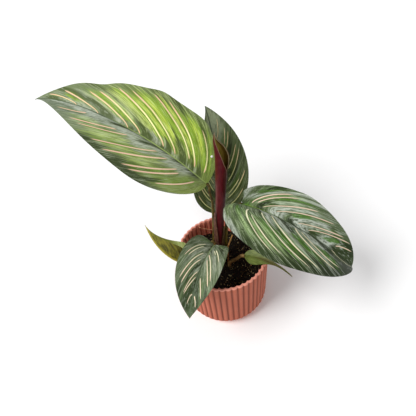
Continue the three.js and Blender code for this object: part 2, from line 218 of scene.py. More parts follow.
def new_material(name, roughness, shine=0.5):
    """A material, its node tree and its shader. shine is how strongly it mirrors its surroundings."""
    material = bpy.data.materials.new(name)
    material.use_nodes = True
    tree = material.node_tree
    shader = tree.nodes["Principled BSDF"]
    shader.inputs["Roughness"].default_value = roughness
    shader.inputs["Specular IOR Level"].default_value = shine
    return material, tree, shader


def finish_shader(tree, shader, color, height=None, depth=0.1, roughness=None):
    """Links colour, roughness and the bump; depth is how many millimetres a height of 1 stands out."""
    tree.links.new(color, shader.inputs["Base Color"])
    if roughness is not None:
        tree.links.new(roughness, shader.inputs["Roughness"])
    if height is not None:
        bump = add(tree, "ShaderNodeBump", {"Strength": 1.0, "Distance": depth * MM, "Height": height})
        tree.links.new(bump.outputs[0], shader.inputs["Normal"])


# ---------- Shader groups ----------

def make_pin_stripe():
    """One fine stripe along a side vein: where it lies, how wide it is and where it starts and ends."""
    inputs = {
        "Vein": 0.0, "Out": 0.0, "Spacing": 100.0, "Place": 0.5, "Lean": 0.0, "Bow": 0.0, "Hook": 0.0,
        "Inner": 0.2, "Outer": 0.9, "Width": 0.7,
    }
    tree, start, end = new_group("pin stripe", inputs, ["Stripe", "Halo"])
    out = minus(tree, start["Out"], 0.5)
    bow = times(tree, times(tree, out, out), start["Bow"])
    past = calc(tree, "MAXIMUM", minus(tree, start["Out"], HOOK_FROM), 0.0)
    hook = times(tree, times(tree, past, past), start["Hook"])
    middle = calc(tree, "MULTIPLY_ADD", out, start["Lean"], start["Place"])
    middle = calc(tree, "ADD", middle, calc(tree, "ADD", bow, hook))
    offset = calc(tree, "ABSOLUTE", minus(tree, start["Vein"], middle))
    distance = times(tree, offset, start["Spacing"])
    begins = rise(tree, minus(tree, start["Out"], start["Inner"]), -0.03, 0.05)
    ends = rise(tree, minus(tree, start["Out"], start["Outer"]), -0.08, 0.03, 1.0, 0.0)
    length = times(tree, begins, ends)
    width = times(tree, start["Width"], blend(tree, length, 0.3, 1.0))
    side = calc(tree, "DIVIDE", distance, width)
    stripe = times(tree, rise(tree, side, 0.3, 0.62, 1.0, 0.0), rise(tree, length, 0.0, 0.4))
    halo = times(tree, rise(tree, side, 0.4, 2.6, 1.0, 0.0), length)
    tree.links.new(stripe, end["Stripe"])
    tree.links.new(halo, end["Halo"])
    return tree


def make_leaf_band():
    """One soft band between side veins; taper narrows it outwards to a point."""
    inputs = {
        "Vein": 0.0, "Out": 0.0, "Feather": 0.0, "Place": 0.5, "Width": 0.03, "Inner": 0.2, "Outer": 0.9,
        "Taper": 0.0,
    }
    tree, start, end = new_group("leaf band", inputs, ["Band"])
    out = calc(tree, "ADD", start["Out"], start["Feather"])
    narrowing = times(tree, calc(tree, "DIVIDE", out, start["Outer"]), start["Taper"])
    width = times(tree, start["Width"], minus(tree, 1.0, narrowing))
    offset = calc(tree, "ABSOLUTE", minus(tree, start["Vein"], start["Place"]))
    side = calc(tree, "DIVIDE", offset, calc(tree, "MAXIMUM", width, 0.001))
    across = rise(tree, side, 0.4, 1.2, 1.0, 0.0)
    begins = rise(tree, minus(tree, out, start["Inner"]), -0.06, 0.08)
    ends = rise(tree, minus(tree, out, start["Outer"]), -0.12, 0.05, 1.0, 0.0)
    band = times(tree, across, times(tree, begins, ends))
    tree.links.new(band, end["Band"])
    return tree


def make_vein_streaks():
    """Fine and broad streaks that run along the side veins."""
    inputs = {"Vein": 0.0, "Out": 0.0, "Side": 0.0, "Length": 100.0}
    tree, start, end = new_group("vein streaks", inputs, ["Fine", "Broad"])
    across = times(tree, start["Vein"], start["Length"])
    for name, tightness, stretch, detail in (("Fine", 1.3, 7.0, 4.0), ("Broad", 0.45, 2.8, 3.0)):
        along = times(tree, start["Out"], stretch)
        apart = calc(tree, "MULTIPLY_ADD", start["Side"], HALVES_APART, 2.0 * tightness)
        place = vector(tree, times(tree, across, tightness), along, apart)
        tree.links.new(grain(tree, place, 1.0, detail, 0.6), end[name])
    return tree


def make_fibres():
    """Long upright fibres, and a mottling, from a place in millimetres."""
    inputs = {"Place": None, "Stretch": 0.12, "Scale": 1.0}
    tree, start, end = new_group("fibres", inputs, ["Fibres", "Mottle"])
    x, y, z = parts(tree, start["Place"])
    long = vector(tree, x, y, times(tree, z, start["Stretch"]))
    tree.links.new(grain(tree, long, start["Scale"], 4.0, 0.6), end["Fibres"])
    tree.links.new(grain(tree, start["Place"], 0.35, 3.0, 0.6), end["Mottle"])
    return tree


HOOK_FROM = 0.75              # from here outwards a stripe may hook towards the tip
HALVES_APART = 7.3            # keeps the streaks of the two halves from mirroring each other
PIN_STRIPE = make_pin_stripe()
LEAF_BAND = make_leaf_band()
VEIN_STREAKS = make_vein_streaks()
FIBRES = make_fibres()


# ---------- Mesh helpers ----------

def mesh_object(name, points, faces, materials, kinds=None, sharp=None):
    """A piece from points in millimetres. kinds gives each face's material."""
    mesh = bpy.data.meshes.new(name)
    mesh.from_pydata([tuple(p) for p in np.asarray(points, float) * MM], [], [tuple(f) for f in faces])
    for material in materials:
        mesh.materials.append(material)
    if kinds is not None:
        mesh.polygons.foreach_set("material_index", np.asarray(kinds, np.int32))
    mesh.polygons.foreach_set("use_smooth", np.ones(len(mesh.polygons), bool))
    if sharp is not None:
        mesh.set_sharp_from_angle(angle=math.radians(sharp))
    mesh.update()
    piece = bpy.data.objects.new(name, mesh)
    bpy.context.scene.collection.objects.link(piece)
    return piece


def place_piece(piece, slot, *nodes):
    """Attaches a finished piece to what it rides on and hides the nodes that it stands for; slot is not
    used.
    """
    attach(piece, "root")
    if nodes:
        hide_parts(*nodes)
    return piece


def baked(piece, name):
    """The piece with its modifiers worked into a plain mesh."""
    graph = bpy.context.evaluated_depsgraph_get()
    mesh = bpy.data.meshes.new_from_object(piece.evaluated_get(graph))
    mesh.name = name
    result = bpy.data.objects.new(name, mesh)
    bpy.context.scene.collection.objects.link(result)
    bpy.data.objects.remove(piece)
    return result


def loft_faces(rows, sides):
    """Faces between neighbouring rings of points."""
    faces = []
    for row in range(rows - 1):
        for side in range(sides):
            a = row * sides + side
            b = row * sides + (side + 1) % sides
            faces.append((a, b, b + sides, a + sides))
    return faces


def fan_faces(pole, first, sides):
    """Triangles from a point to the ring that begins at first."""
    return [(pole, first + side, first + (side + 1) % sides) for side in range(sides)]


def ring_points(radius, z, angles):
    return [(radius * math.cos(a), radius * math.sin(a), z) for a in angles]


def keep_values(mesh, name, values):
    """Stores a number or a vector for each point, for a material to read."""
    values = np.asarray(values, np.float32)
    kind, key = ("FLOAT_VECTOR", "vector") if values.ndim > 1 else ("FLOAT", "value")
    mesh.attributes.new(name, kind, "POINT").data.foreach_set(key, values.ravel())


def smooth_share(value, low, high):
    share = np.clip((value - low) / (high - low), 0, 1)
    return share * share * (3 - 2 * share)


# ---------- Geometry Nodes helpers ----------

def new_shape_tree(name, inputs):
    """A Geometry Nodes tree with a geometry, named sizes and a material (None) as inputs."""
    kinds = {float: "NodeSocketFloat", int: "NodeSocketInt", type(None): "NodeSocketMaterial"}
    tree = bpy.data.node_groups.new(name, "GeometryNodeTree")
    for in_out in ("INPUT", "OUTPUT"):
        tree.interface.new_socket("Geometry", in_out=in_out, socket_type="NodeSocketGeometry")
    for socket, value in inputs.items():
        item = tree.interface.new_socket(socket, in_out="INPUT", socket_type=kinds[type(value)])
        if value is not None:
            item.default_value = value
    start = tree.nodes.new("NodeGroupInput").outputs
    end = tree.nodes.new("NodeGroupOutput").inputs
    return tree, start, end


def finish_shape_tree(tree, geometry, material, end):
    """Ends a tree with plain geometry in its material."""
    real = add(tree, "GeometryNodeRealizeInstances", {"Geometry": geometry}).outputs[0]
    dressed = add(tree, "GeometryNodeSetMaterial", {"Geometry": real, "Material": material})
    tree.links.new(dressed.outputs[0], end["Geometry"])
    return tree


def shape_with(piece, tree, values):
    """Puts the tree on the piece with its named inputs set."""
    modifier = piece.modifiers.new(tree.name, "NODES")
    modifier.node_group = tree
    for item in tree.interface.items_tree:
        if item.item_type == "SOCKET" and item.in_out == "INPUT" and item.name in values:
            modifier[item.identifier] = values[item.name]


# ---------- Pot ----------

POT_HEIGHT = 53.0
RIM_RADIUS = 31.0             # middle of the wall, at the rim
SHOULDER_RADIUS = 29.2        # middle of the wall, where the rounded lower edge starts
SHOULDER_HEIGHT = 8.8
BASE_RADIUS = 21.5
HALF_WALL = 0.9
FLOOR = 2.4
FLUTES = 48
FLUTE_DEPTH = 0.45
FLUTE_SHARPNESS = 0.7         # under 1: wide round ribs and narrow grooves
GROOVE_ANGLE = -1.76
POT_SIDES = FLUTES * 12
WALL_FLARE = RIM_RADIUS - SHOULDER_RADIUS
WALL_RISE = POT_HEIGHT - SHOULDER_HEIGHT


def wall_radius(z):
    """Radius of the wall's middle at a height above the rounded lower edge."""
    return SHOULDER_RADIUS + WALL_FLARE * (z - SHOULDER_HEIGHT) / WALL_RISE


def flute(angle):
    """How far the wall stands out at an angle, from -1 in a groove to 1 on a rib."""
    return 2 * np.abs(np.sin((angle - GROOVE_ANGLE) * FLUTES / 2)) ** FLUTE_SHARPNESS - 1


def lower_edge(floor_radius, floor_z, radius, z, steps):
    """A quarter of an ellipse from the floor up to where the wall begins."""
    return [
        (floor_radius + (radius - floor_radius) * math.sin(a), z + (floor_z - z) * math.cos(a))
        for a in np.linspace(0, math.pi / 2, steps)
    ]


def ridges(tree, angle, half_count):
    """0 in a groove and 1 on a rib, at an angle from the first groove."""
    return calc(tree, "ABSOLUTE", calc(tree, "SINE", times(tree, angle, half_count)))


def make_flute_tree():
    """Moves a smooth pot's wall in and out round its axis, fading in above the foot."""
    tree, start, end = new_shape_tree("flutes", {
        "Flutes": float(FLUTES), "Depth": FLUTE_DEPTH * MM, "Sharpness": FLUTE_SHARPNESS,
        "First groove": GROOVE_ANGLE, "Fade from": FLOOR * MM, "Fade to": SHOULDER_HEIGHT * MM,
        "Plain within": (BASE_RADIUS - 2 * HALF_WALL) * MM, "Material": None,
    })
    x, y, z = parts(tree, add(tree, "GeometryNodeInputPosition").outputs[0])
    angle = minus(tree, calc(tree, "ARCTAN2", y, x), start["First groove"])
    ridge = ridges(tree, angle, times(tree, start["Flutes"], 0.5))
    wave = calc(tree, "MULTIPLY_ADD", calc(tree, "POWER", ridge, start["Sharpness"]), 2.0, -1.0)
    fade = rise(tree, z, start["Fade from"], start["Fade to"])
    flat = vector(tree, x, y, 0.0)
    length = add(tree, "ShaderNodeVectorMath", {0: flat}, operation="LENGTH").outputs["Value"]
    outward = add(tree, "ShaderNodeVectorMath", {0: flat}, operation="NORMALIZE").outputs[0]
    wall = calc(tree, "GREATER_THAN", length, start["Plain within"])
    step = times(tree, times(tree, wave, fade), times(tree, start["Depth"], wall))
    offset = add(tree, "ShaderNodeVectorMath", {0: outward, "Scale": step}, operation="SCALE").outputs[0]
    moved = add(tree, "GeometryNodeSetPosition", {"Geometry": start["Geometry"], "Offset": offset})
    return finish_shape_tree(tree, moved.outputs[0], start["Material"], end)


def pot_profile():
    """Radius and height from the middle of the base, up the outside, over the lip and down inside."""
    outer = lower_edge(BASE_RADIUS, 0, SHOULDER_RADIUS + HALF_WALL, SHOULDER_HEIGHT, 12)
    inner = lower_edge(BASE_RADIUS - HALF_WALL, FLOOR, SHOULDER_RADIUS - HALF_WALL, SHOULDER_HEIGHT, 8)
    lip = POT_HEIGHT - HALF_WALL
    up = np.linspace(SHOULDER_HEIGHT, lip, 12)[1:-1]
    down = np.linspace(lip, SHOULDER_HEIGHT, 12)[1:-1]
    return [
        (BASE_RADIUS * 0.5, 0.0),
        *outer,
        *[(wall_radius(z) + HALF_WALL, z) for z in up],
        *[(wall_radius(lip) + HALF_WALL * math.cos(a), lip + HALF_WALL * math.sin(a))
          for a in np.linspace(0, math.pi, 11)],
        *[(wall_radius(z) - HALF_WALL, z) for z in down],
        *inner[::-1],
        (BASE_RADIUS * 0.5, FLOOR),
    ]


def make_pot(material):
    profile = pot_profile()
    angles = np.arange(POT_SIDES) / POT_SIDES * TURN + GROOVE_ANGLE
    points = [(0, 0, 0)]
    for radius, z in profile:
        points += ring_points(radius, z, angles)
    points.append((0, 0, FLOOR))
    last = len(points) - 1
    faces = [tuple(i + 1 for i in face) for face in loft_faces(len(profile), POT_SIDES)]
    faces += [face[::-1] for face in fan_faces(0, 1, POT_SIDES)]
    faces += fan_faces(last, last - POT_SIDES, POT_SIDES)
    smooth_pot = mesh_object("pot_smooth", points, faces, [material])
    shape_with(smooth_pot, make_flute_tree(), {"Material": material})
    return place_piece(baked(smooth_pot, "fluted_pot"), "pot", "pot")


def pot_material():
    """Matt fired-clay plastic, cloudy and dusty: darker in the grooves, which is painted shade, and
    paler at the rim and inside, which is painted light.
    """
    material, tree, shader = new_material("terracotta_plastic", 0.66, 0.15)
    place = object_place(tree)
    x, y, z = parts(tree, place)
    ridge = ridges(tree, minus(tree, calc(tree, "ARCTAN2", y, x), GROOVE_ANGLE), FLUTES / 2)
    cloud = grain(tree, place, 0.09, 3.0, 0.6)
    dust = grain(tree, place, 1.6, 4.0, 0.7)
    slope = WALL_FLARE / WALL_RISE
    middle = calc(tree, "MULTIPLY_ADD", z, slope, SHOULDER_RADIUS - slope * SHOULDER_HEIGHT)
    flat = add(tree, "ShaderNodeVectorMath", {0: vector(tree, x, y, 0.0)}, operation="LENGTH")
    past_middle = minus(tree, flat.outputs["Value"], middle)
    # Painted light inside: a paler wall, with painted highlights on the ribs and painted shade in the
    # grooves.
    inside_painted_light = painted(tree, tint(170, 84, 62), (ridge, 0.1, 0.8, 0.0, 1.0, tint(255, 160, 132, 1.05)))
    # The grooves darker than the ribs are painted shade, and the paler lip is a painted highlight.
    body = painted(
        tree, tint(138, 72, 52),
        (ridge, 0.0, 0.95, 0.0, 1.0, tint(200, 112, 86)),
        (cloud, 0.35, 0.75, 0.0, 0.28, tint(176, 96, 74)),
        (dust, 0.62, 0.8, 0.0, 0.16, tint(120, 80, 64)),
        (past_middle, -0.5, 0.1, 0.9, 0.0, inside_painted_light),
        (z, POT_HEIGHT - 2.0, POT_HEIGHT - 0.5, 0.0, 0.75, tint(248, 168, 146, 1.15)),
    )
    pores = grain(tree, place, 5.0, 2.0, 0.5)
    finish_shader(tree, shader, body, pores, 0.02, blend(tree, cloud, 0.52, 0.72))
    return material


# ---------- Soil ----------

SOIL_LEVEL = 38.0
SOIL_LUMP = 0.9
SOIL_GAP = 0.1
SOIL_RINGS = 44
SOIL_SIDES = FLUTES * 6
PATCH_RINGS = 40
PATCH_SIDES = 96
CRUMB_KNOCK = 0.14            # how far a crumb's corners are moved


def soil_height(x, y):
    """The lumpy top: broad and middling lumps with crumbs on them, held within SOIL_LUMP."""
    place = Vector((x, y, 3.0))
    lumps = noise.fractal(place * 0.16, 0.8, 2.0, 2) * 0.8 + noise.noise(place * 0.55) * 0.6
    crumbs = noise.noise(place * 1.6) * 0.35
    return SOIL_LEVEL + max(-1.0, min(1.0, lumps + crumbs)) * SOIL_LUMP


def soil_point(x, y):
    return x, y, soil_height(x, y)


def make_soil(material):
    """Two rings down in the pot, then rings inwards over the lumpy top, just clear of the flutes."""
    angles = np.arange(SOIL_SIDES) / SOIL_SIDES * TURN
    wall = np.array([flute(a) for a in angles])
    edge = wall_radius(SOIL_LEVEL) - HALF_WALL - SOIL_GAP + FLUTE_DEPTH * wall
    points = ring_points(BASE_RADIUS - HALF_WALL - SOIL_GAP - 1.0, FLOOR + 0.3, angles)
    points += ring_points(SHOULDER_RADIUS - HALF_WALL - 0.6, SHOULDER_HEIGHT, angles)
    for ring in range(SOIL_RINGS):
        share = 1 - ring / SOIL_RINGS
        for a, radius in zip(angles, edge):
            points.append(soil_point(radius * share * math.cos(a), radius * share * math.sin(a)))
    last = len(points)
    points.append(soil_point(0, 0))
    faces = loft_faces(last // SOIL_SIDES, SOIL_SIDES)
    faces.append(tuple(reversed(range(SOIL_SIDES))))
    faces += fan_faces(last, last - SOIL_SIDES, SOIL_SIDES)
    return place_piece(mesh_object("soil_bed", points, faces, [material]), "soil", "soil")


def soil_material(name, dark, light, roughness=0.95):
    """A lumpy two-tone crumb with brown fibres in it."""
    material, tree, shader = new_material(name, roughness, 0.2)
    place = object_place(tree)
    lumps = grain(tree, place, 0.9, 5.0, 0.7)
    fibre = grain(tree, place, 4.0, 3.0, 0.7)
    color = painted(
        tree, dark, (lumps, 0.35, 0.72, 0.0, 1.0, light), (fibre, 0.62, 0.8, 0.0, 0.5, tint(74, 60, 40)),
    )
    finish_shader(tree, shader, color, lumps, 0.5)
    return material


def make_crumb_tree():
    """Scatters turned, scaled copies of a small knocked ball over a surface."""
    tree, start, end = new_shape_tree("crumbs", {
        "Per square metre": 100000.0, "Smallest": 0.3, "Largest": 1.0, "Flatness": 0.7, "Seed": 1,
        "Lift": 0.0, "Material": None,
    })
    spread = add(tree, "GeometryNodeDistributePointsOnFaces",
                 {"Mesh": start["Geometry"], "Density": start["Per square metre"], "Seed": start["Seed"]})
    ball = add(tree, "GeometryNodeMeshIcoSphere", {"Radius": 0.5 * MM, "Subdivisions": 1}).outputs[0]
    knock = add(tree, "FunctionNodeRandomValue", data_type="FLOAT_VECTOR")
    knock.inputs["Min"].default_value = (-CRUMB_KNOCK * MM,) * 3
    knock.inputs["Max"].default_value = (CRUMB_KNOCK * MM,) * 3
    rough = add(tree, "GeometryNodeSetPosition", {"Geometry": ball, "Offset": knock.outputs[0]}).outputs[0]
    sizes = {2: start["Smallest"], 3: start["Largest"], "Seed": start["Seed"]}
    size = add(tree, "FunctionNodeRandomValue", sizes, data_type="FLOAT").outputs[1]
    flat = times(tree, size, start["Flatness"])
    spin = add(tree, "FunctionNodeRandomValue", {"Seed": 7}, data_type="FLOAT_VECTOR")
    spin.inputs["Max"].default_value = (TURN, TURN, TURN)
    lift = vector(tree, 0.0, 0.0, start["Lift"])
    lifted = add(tree, "GeometryNodeSetPosition", {"Geometry": spread.outputs["Points"], "Offset": lift})
    copies = add(tree, "GeometryNodeInstanceOnPoints", {
        "Points": lifted.outputs[0], "Instance": rough, "Rotation": spin.outputs[0],
        "Scale": vector(tree, size, flat, flat),
    })
    return finish_shape_tree(tree, copies.outputs[0], start["Material"], end)


def soil_patch():
    """The soil's top as an open surface that carries the crumbs."""
    reach = wall_radius(SOIL_LEVEL) - HALF_WALL - FLUTE_DEPTH - 0.8
    points = [soil_point(0, 0)]
    for ring in range(1, PATCH_RINGS + 1):
        radius = reach * ring / PATCH_RINGS
        for side in range(PATCH_SIDES):
            a = side / PATCH_SIDES * TURN
            points.append(soil_point(radius * math.cos(a), radius * math.sin(a)))
    faces = fan_faces(0, 1, PATCH_SIDES)
    faces += [(b + 1, a + 1, d + 1, c + 1) for a, b, c, d in loft_faces(PATCH_RINGS, PATCH_SIDES)]
    return points, faces


def make_crumbs():
    """Dark crumbs, bits of bark and pale specks, scattered over the soil."""
    tree = make_crumb_tree()
    dark = soil_material("dark_crumbs", tint(12, 9, 6), tint(48, 40, 28))
    bark = soil_material("bark_bits", tint(48, 39, 23), tint(104, 90, 56))
    pale = soil_material("pale_specks", tint(124, 116, 78), tint(196, 186, 140))
    inputs = ("Material", "Per square metre", "Smallest", "Largest", "Flatness", "Seed", "Lift")
    kinds = {
        "soil_crumbs": (dark, 900000.0, 0.5, 1.7, 0.75, 3, 0.0),
        "soil_bark": (bark, 130000.0, 0.9, 2.8, 0.45, 11, 0.3 * MM),
        "soil_specks": (pale, 60000.0, 0.5, 1.4, 0.8, 23, 0.4 * MM),
    }
    points, faces = soil_patch()
    for name, values in kinds.items():
        patch = mesh_object("patch", points, faces, [values[0]])
        shape_with(patch, tree, dict(zip(inputs, values)))
        crumbs = baked(patch, name)
        crumbs.data.polygons.foreach_set("use_smooth", np.zeros(len(crumbs.data.polygons), bool))
        place_piece(crumbs, "soil")


# ---------- Leaves ----------

MIDRIB_STEPS = 60
LOBE_END = 0.35               # the share of a margin that its base lobe takes up
BLADE_THICKNESS = 0.4
HALF_COLUMNS = 22
COLUMN_BUNCHING = 1.7         # over 1: the columns lie closer together near the midrib
GRAIN_PLACE = (np.array([0.156]), np.array([-0.547]))
GRAIN_RADIUS = 0.85


def half(**sizes):
    """One half of a blade: its own sizes over those that most halves share."""
    shared = {
        "lobe": 0, "curl": 0, "wave": 0, "waves": 0, "phase": 0, "sweep": 2.5, "straight": 0.6, "hook": 0.0,
        "swells": [], "stripes": [],
    }
    return {**shared, **sizes}


# A leaf's heading, rise and roll hold at its base, and turn, droop and twist are how they change up to
# its tip. A half's margin is set by its width, shoulder, taper and lobe. fold and curl tilt it up from
# the midrib, wave and swells lift its margin, and sweep and straight set the run of its side veins.
# Stripes are (place, lean, bow, inner, outer): the vein they lie on half way out, how it shifts and
# bows from there, and how far out they start and end. A sixth number widens a stripe.
LEAVES = {
    "left_large": {
        "base": (-4.4, 16.8, 104), "length": 143.5, "heading": 154.3, "turn": -13.3, "rise": 45.7,
        "droop": 68, "bend": 1.2, "roll": -7.3, "twist": 1.7, "tail": 0, "rows": 190,
        "left": half(
            width=32.4, shoulder=0.62, taper=1.54, lobe=-2, fold=18.8, curl=-14.7, wave=0.5, waves=3.1,
            sweep=2.56, straight=0.55,
            stripes=[
                (0.269, -0.001, 0.01, 0.2, 0.8), (0.382, -0.031, -0.03, 0.3, 0.9),
                (0.417, -0.035, -0.03, 0.25, 0.9), (0.505, -0.034, -0.05, 0.2, 0.93),
                (0.559, -0.026, -0.01, 0.2, 0.93), (0.653, -0.016, 0.08, 0.35, 0.9),
                (0.69, 0.006, 0.02, 0.4, 0.92), (0.791, -0.053, 0.19, 0.45, 0.9),
            ],
        ),
        "right": half(
            width=31.3, shoulder=0.47, taper=1.22, lobe=1, fold=22.9, curl=-3.6, sweep=3.05, straight=0.54,
            swells=[(0.17, 0.06, 2.5), (0.38, 0.05, 2.4), (0.64, 0.06, -5.5), (0.77, 0.06, 2.2)],
            stripes=[
                (0.236, -0.038, 0.27, 0.15, 0.78), (0.398, -0.034, 0.01, 0.12, 0.92),
                (0.453, -0.016, 0.01, 0.2, 0.93), (0.557, -0.009, -0.04, 0.1, 0.92),
                (0.616, -0.015, -0.06, 0.1, 0.93), (0.716, -0.004, -0.08, 0.05, 0.87),
                (0.757, 0.004, -0.07, 0.03, 0.86), (0.842, 0.014, -0.05, 0.02, 0.9),
                (0.896, 0.037, 0.01, 0.05, 0.9),
            ],
        ),
        "stalk": {
            "radius": 1.0, "root": (-5.2, 5.2),
            "path": [
                (-5, 5.8, 50), (-4.3, 6.4, 63), (-3.3, 9, 75), (-2.6, 10.8, 86), (-2.4, 12.4, 93),
                (-3.4, 14.4, 99),
            ],
        },
    },
    "back": {
        "base": (1.6, 23.5, 66), "length": 79, "heading": 77, "turn": 23, "rise": 59, "droop": 35,
        "bend": 1.2, "roll": 4, "twist": 2, "tail": 0, "rows": 140,
        "left": half(
            width=18, shoulder=0.5, taper=1.39, fold=12, wave=0.3, waves=2.3, sweep=2.97, straight=0.26,
            stripes=[
                (0.29, 0, 0, 0.3, 0.8), (0.425, -0.031, 0, 0.3, 0.85), (0.467, -0.03, 0, 0.3, 0.82),
                (0.579, 0.053, 0, 0.27, 0.8), (0.63, 0.03, 0, 0.3, 0.85), (0.72, 0, 0.1, 0.4, 0.9),
            ],
        ),
        "right": half(
            width=22, shoulder=0.6, taper=0.96, lobe=2, fold=12, wave=0.7, waves=2.3, phase=-0.4,
            sweep=2.97, straight=0.26,
            stripes=[
                (0.36, 0, 0, 0.3, 0.8), (0.481, -0.007, -0.13, 0.32, 0.9), (0.524, 0.012, -0.3, 0.34, 0.72),
                (0.621, 0.027, -0.05, 0.4, 0.92), (0.684, -0.005, -0.03, 0.5, 0.9),
                (0.763, 0.046, 0, 0.66, 0.9), (0.791, 0.081, 0, 0.62, 0.88),
                (0.872, 0.051, 0.09, 0.34, 0.85),
            ],
        ),
        "stalk": {"radius": 1.1, "root": (-1.4, 6.2), "path": [(-1.2, 7.2, 46), (-0.2, 13.5, 56)]},
    },
    "right": {
        "base": (16, 7.9, 90), "length": 88, "heading": -33, "turn": 12, "rise": 26, "droop": 73,
        "bend": 0.41, "roll": -18, "twist": 26, "tail": 0, "rows": 150,
        "left": half(
            width=24.5, shoulder=0.58, taper=0.62, lobe=18, fold=20, curl=-8, wave=1.8, waves=1.2,
            phase=-0.16, sweep=5.74, straight=0.32,
            stripes=[
                (0.548, -0.1, 0.02, 0.13, 0.8), (0.625, -0.066, -0.08, 0.2, 0.8),
                (0.747, 0.028, -0.25, 0.12, 0.85), (0.8, 0.046, -0.12, 0.18, 0.92),
                (0.878, 0.046, -0.07, 0.18, 0.92), (0.902, 0.031, -0.03, 0.18, 0.97),
                (0.95, -0.005, 0.03, 0.45, 0.95),
            ],
        ),
        "right": half(
            width=38.5, shoulder=0.29, taper=0.67, lobe=5, fold=36, curl=-61, wave=1.3, waves=1.6,
            phase=0.3, sweep=3.98, straight=0.09, hook=1.2,
            stripes=[
                (0.458, -0.33, 0.37, 0.35, 0.9), (0.511, -0.221, 0.24, 0.5, 0.9),
                (0.619, -0.071, -0.05, 0.27, 0.95, 1.15), (0.687, -0.051, -0.08, 0.22, 0.95, 1.3),
                (0.791, -0.027, 0.07, 0.25, 0.93, 1.6), (0.83, 0.032, 0.04, 0.27, 0.9, 1.7),
                (0.951, 0.081, 0.15, 0.02, 0.8, 1.6),
            ],
        ),
        "stalk": {
            "radius": 1.2, "root": (3.4, 3.4),
            "path": [(3.5, 4, 50), (3.6, 4.4, 56), (4.5, 5.4, 67), (6, 6.6, 76), (9.6, 7.6, 84)],
        },
    },
    "front": {
        "base": (-4.8, -0.6, 62), "length": 58, "heading": -119, "turn": 7, "rise": 23, "droop": 82,
        "bend": 1.2, "roll": -7, "twist": -1, "tail": 0, "rows": 130,
        "left": half(
            width=14, shoulder=0.74, taper=1.16, lobe=8, fold=14, curl=1, wave=0.4, waves=2.3, phase=0.2,
            sweep=4.72, straight=0.67,
            stripes=[
                (0.452, 0.014, 0.34, 0.3, 0.7), (0.527, -0.013, 0, 0.25, 0.42),
                (0.666, -0.042, 0.04, 0.12, 0.85), (0.724, -0.042, -0.05, 0.2, 0.87),
                (0.831, -0.037, -0.02, 0.36, 0.9, 0.8), (0.912, -0.051, 0.03, 0.4, 0.9, 0.6),
            ],
        ),
        "right": half(
            width=16.5, shoulder=0.7, taper=1.1, lobe=9, fold=16, wave=0.6, waves=2.3, phase=-0.3,
            sweep=4.65, straight=0.34,
            stripes=[
                (0.484, 0.01, 0, 0.3, 0.85), (0.56, 0.01, -0.05, 0.34, 0.75),
                (0.687, -0.022, -0.05, 0.25, 0.92), (0.748, -0.025, -0.04, 0.27, 0.9),
                (0.832, -0.024, -0.04, 0.22, 0.88, 0.75), (0.858, -0.03, -0.11, 0.25, 0.88, 0.65),
                (0.919, -0.026, 0.01, 0.23, 0.84, 0.6),
            ],
        ),
        "stalk": {
            "radius": 0.8, "root": (-7.4, 1.2),
            "path": [(-7.6, 1.6, 48), (-7.2, 2.8, 57), (-6, 2.4, 62.4)],
        },
    },
    "small_left": {
        "base": (-15.6, -7.3, 54), "length": 56, "heading": 210, "turn": -93, "rise": 8, "droop": -63,
        "bend": 0.49, "roll": 37, "twist": 5, "tail": 0, "rows": 100,
        "left": half(width=10, shoulder=1.3, taper=1.5, fold=79),
        "right": half(width=13.2, shoulder=0.66, taper=1.5, fold=72),
        "stalk": {"radius": 0.8, "root": (-6.8, -3.6), "path": [(-7.2, -3.8, 45), (-10.4, -5.4, 51.6)]},
    },
    "small_right": {
        "base": (14.4, -6.9, 53), "length": 37.5, "heading": -24, "turn": -27, "rise": 17, "droop": 37,
        "bend": 1.2, "roll": 21, "twist": -2, "tail": 1.6, "rows": 90,
        "left": half(width=4.5, shoulder=0.92, taper=4.7, fold=19),
        "right": half(width=5.6, shoulder=1.38, taper=4.9, fold=13),
        "stalk": {"radius": 1.3, "root": (4.1, -2.9), "path": [(4.4, -3, 41.5), (9, -4.6, 47.2)]},
    },
}


def midrib(leaf):
    """Shares along the midrib with its places and its forward, left and upward directions."""
    s = np.linspace(0, 1, MIDRIB_STEPS + 1)
    pitch = np.radians(leaf["rise"] - leaf["droop"] * s ** leaf["bend"])
    heading = np.radians(leaf["heading"] + leaf["turn"] * s)
    level = np.cos(pitch)
    forward = np.stack([level * np.cos(heading), level * np.sin(heading), np.sin(pitch)], -1)
    flat_left = np.stack([-np.sin(heading), np.cos(heading), 0 * heading], -1)
    flat_up = np.cross(forward, flat_left)
    roll = np.radians(leaf["roll"] + leaf["twist"] * s)[:, None]
    left = flat_left * np.cos(roll) + flat_up * np.sin(roll)
    up = np.cross(forward, left)
    steps = (forward[1:] + forward[:-1]) / 2 * leaf["length"] / MIDRIB_STEPS
    place = np.concatenate([[np.zeros(3)], np.cumsum(steps, 0)]) + np.array(leaf["base"], float)
    return s, place, forward, left, up


def bent(leaf, rib, x, y):
    """Bends places on the flat leaf (x along the midrib, y to its left) into space."""
    shares, place, forward, left, up = rib
    s = np.clip(x / leaf["length"], 0, 1)

    def along(values):
        return np.stack([np.interp(s, shares, values[:, axis]) for axis in range(3)], -1)

    def side(name):
        return np.where(y < 0, leaf["right"][name], leaf["left"][name])

    out = np.abs(y) / side("width")
    slope = np.radians(side("fold") + side("curl") * out / 2)
    wave = side("wave") * np.sin(TURN * (side("waves") * s + side("phase")))
    for half, name in ((y >= 0, "left"), (y < 0, "right")):
        for at, spread, height in leaf[name]["swells"]:
            wave = wave + half * height * np.exp(-((s - at) / spread) ** 2)
    point = along(place) + along(forward) * (x - s * leaf["length"])[..., None]
    point += along(left) * (y * np.cos(slope))[..., None]
    return point + along(up) * (np.abs(y) * np.sin(slope) + wave * out ** 2)[..., None]


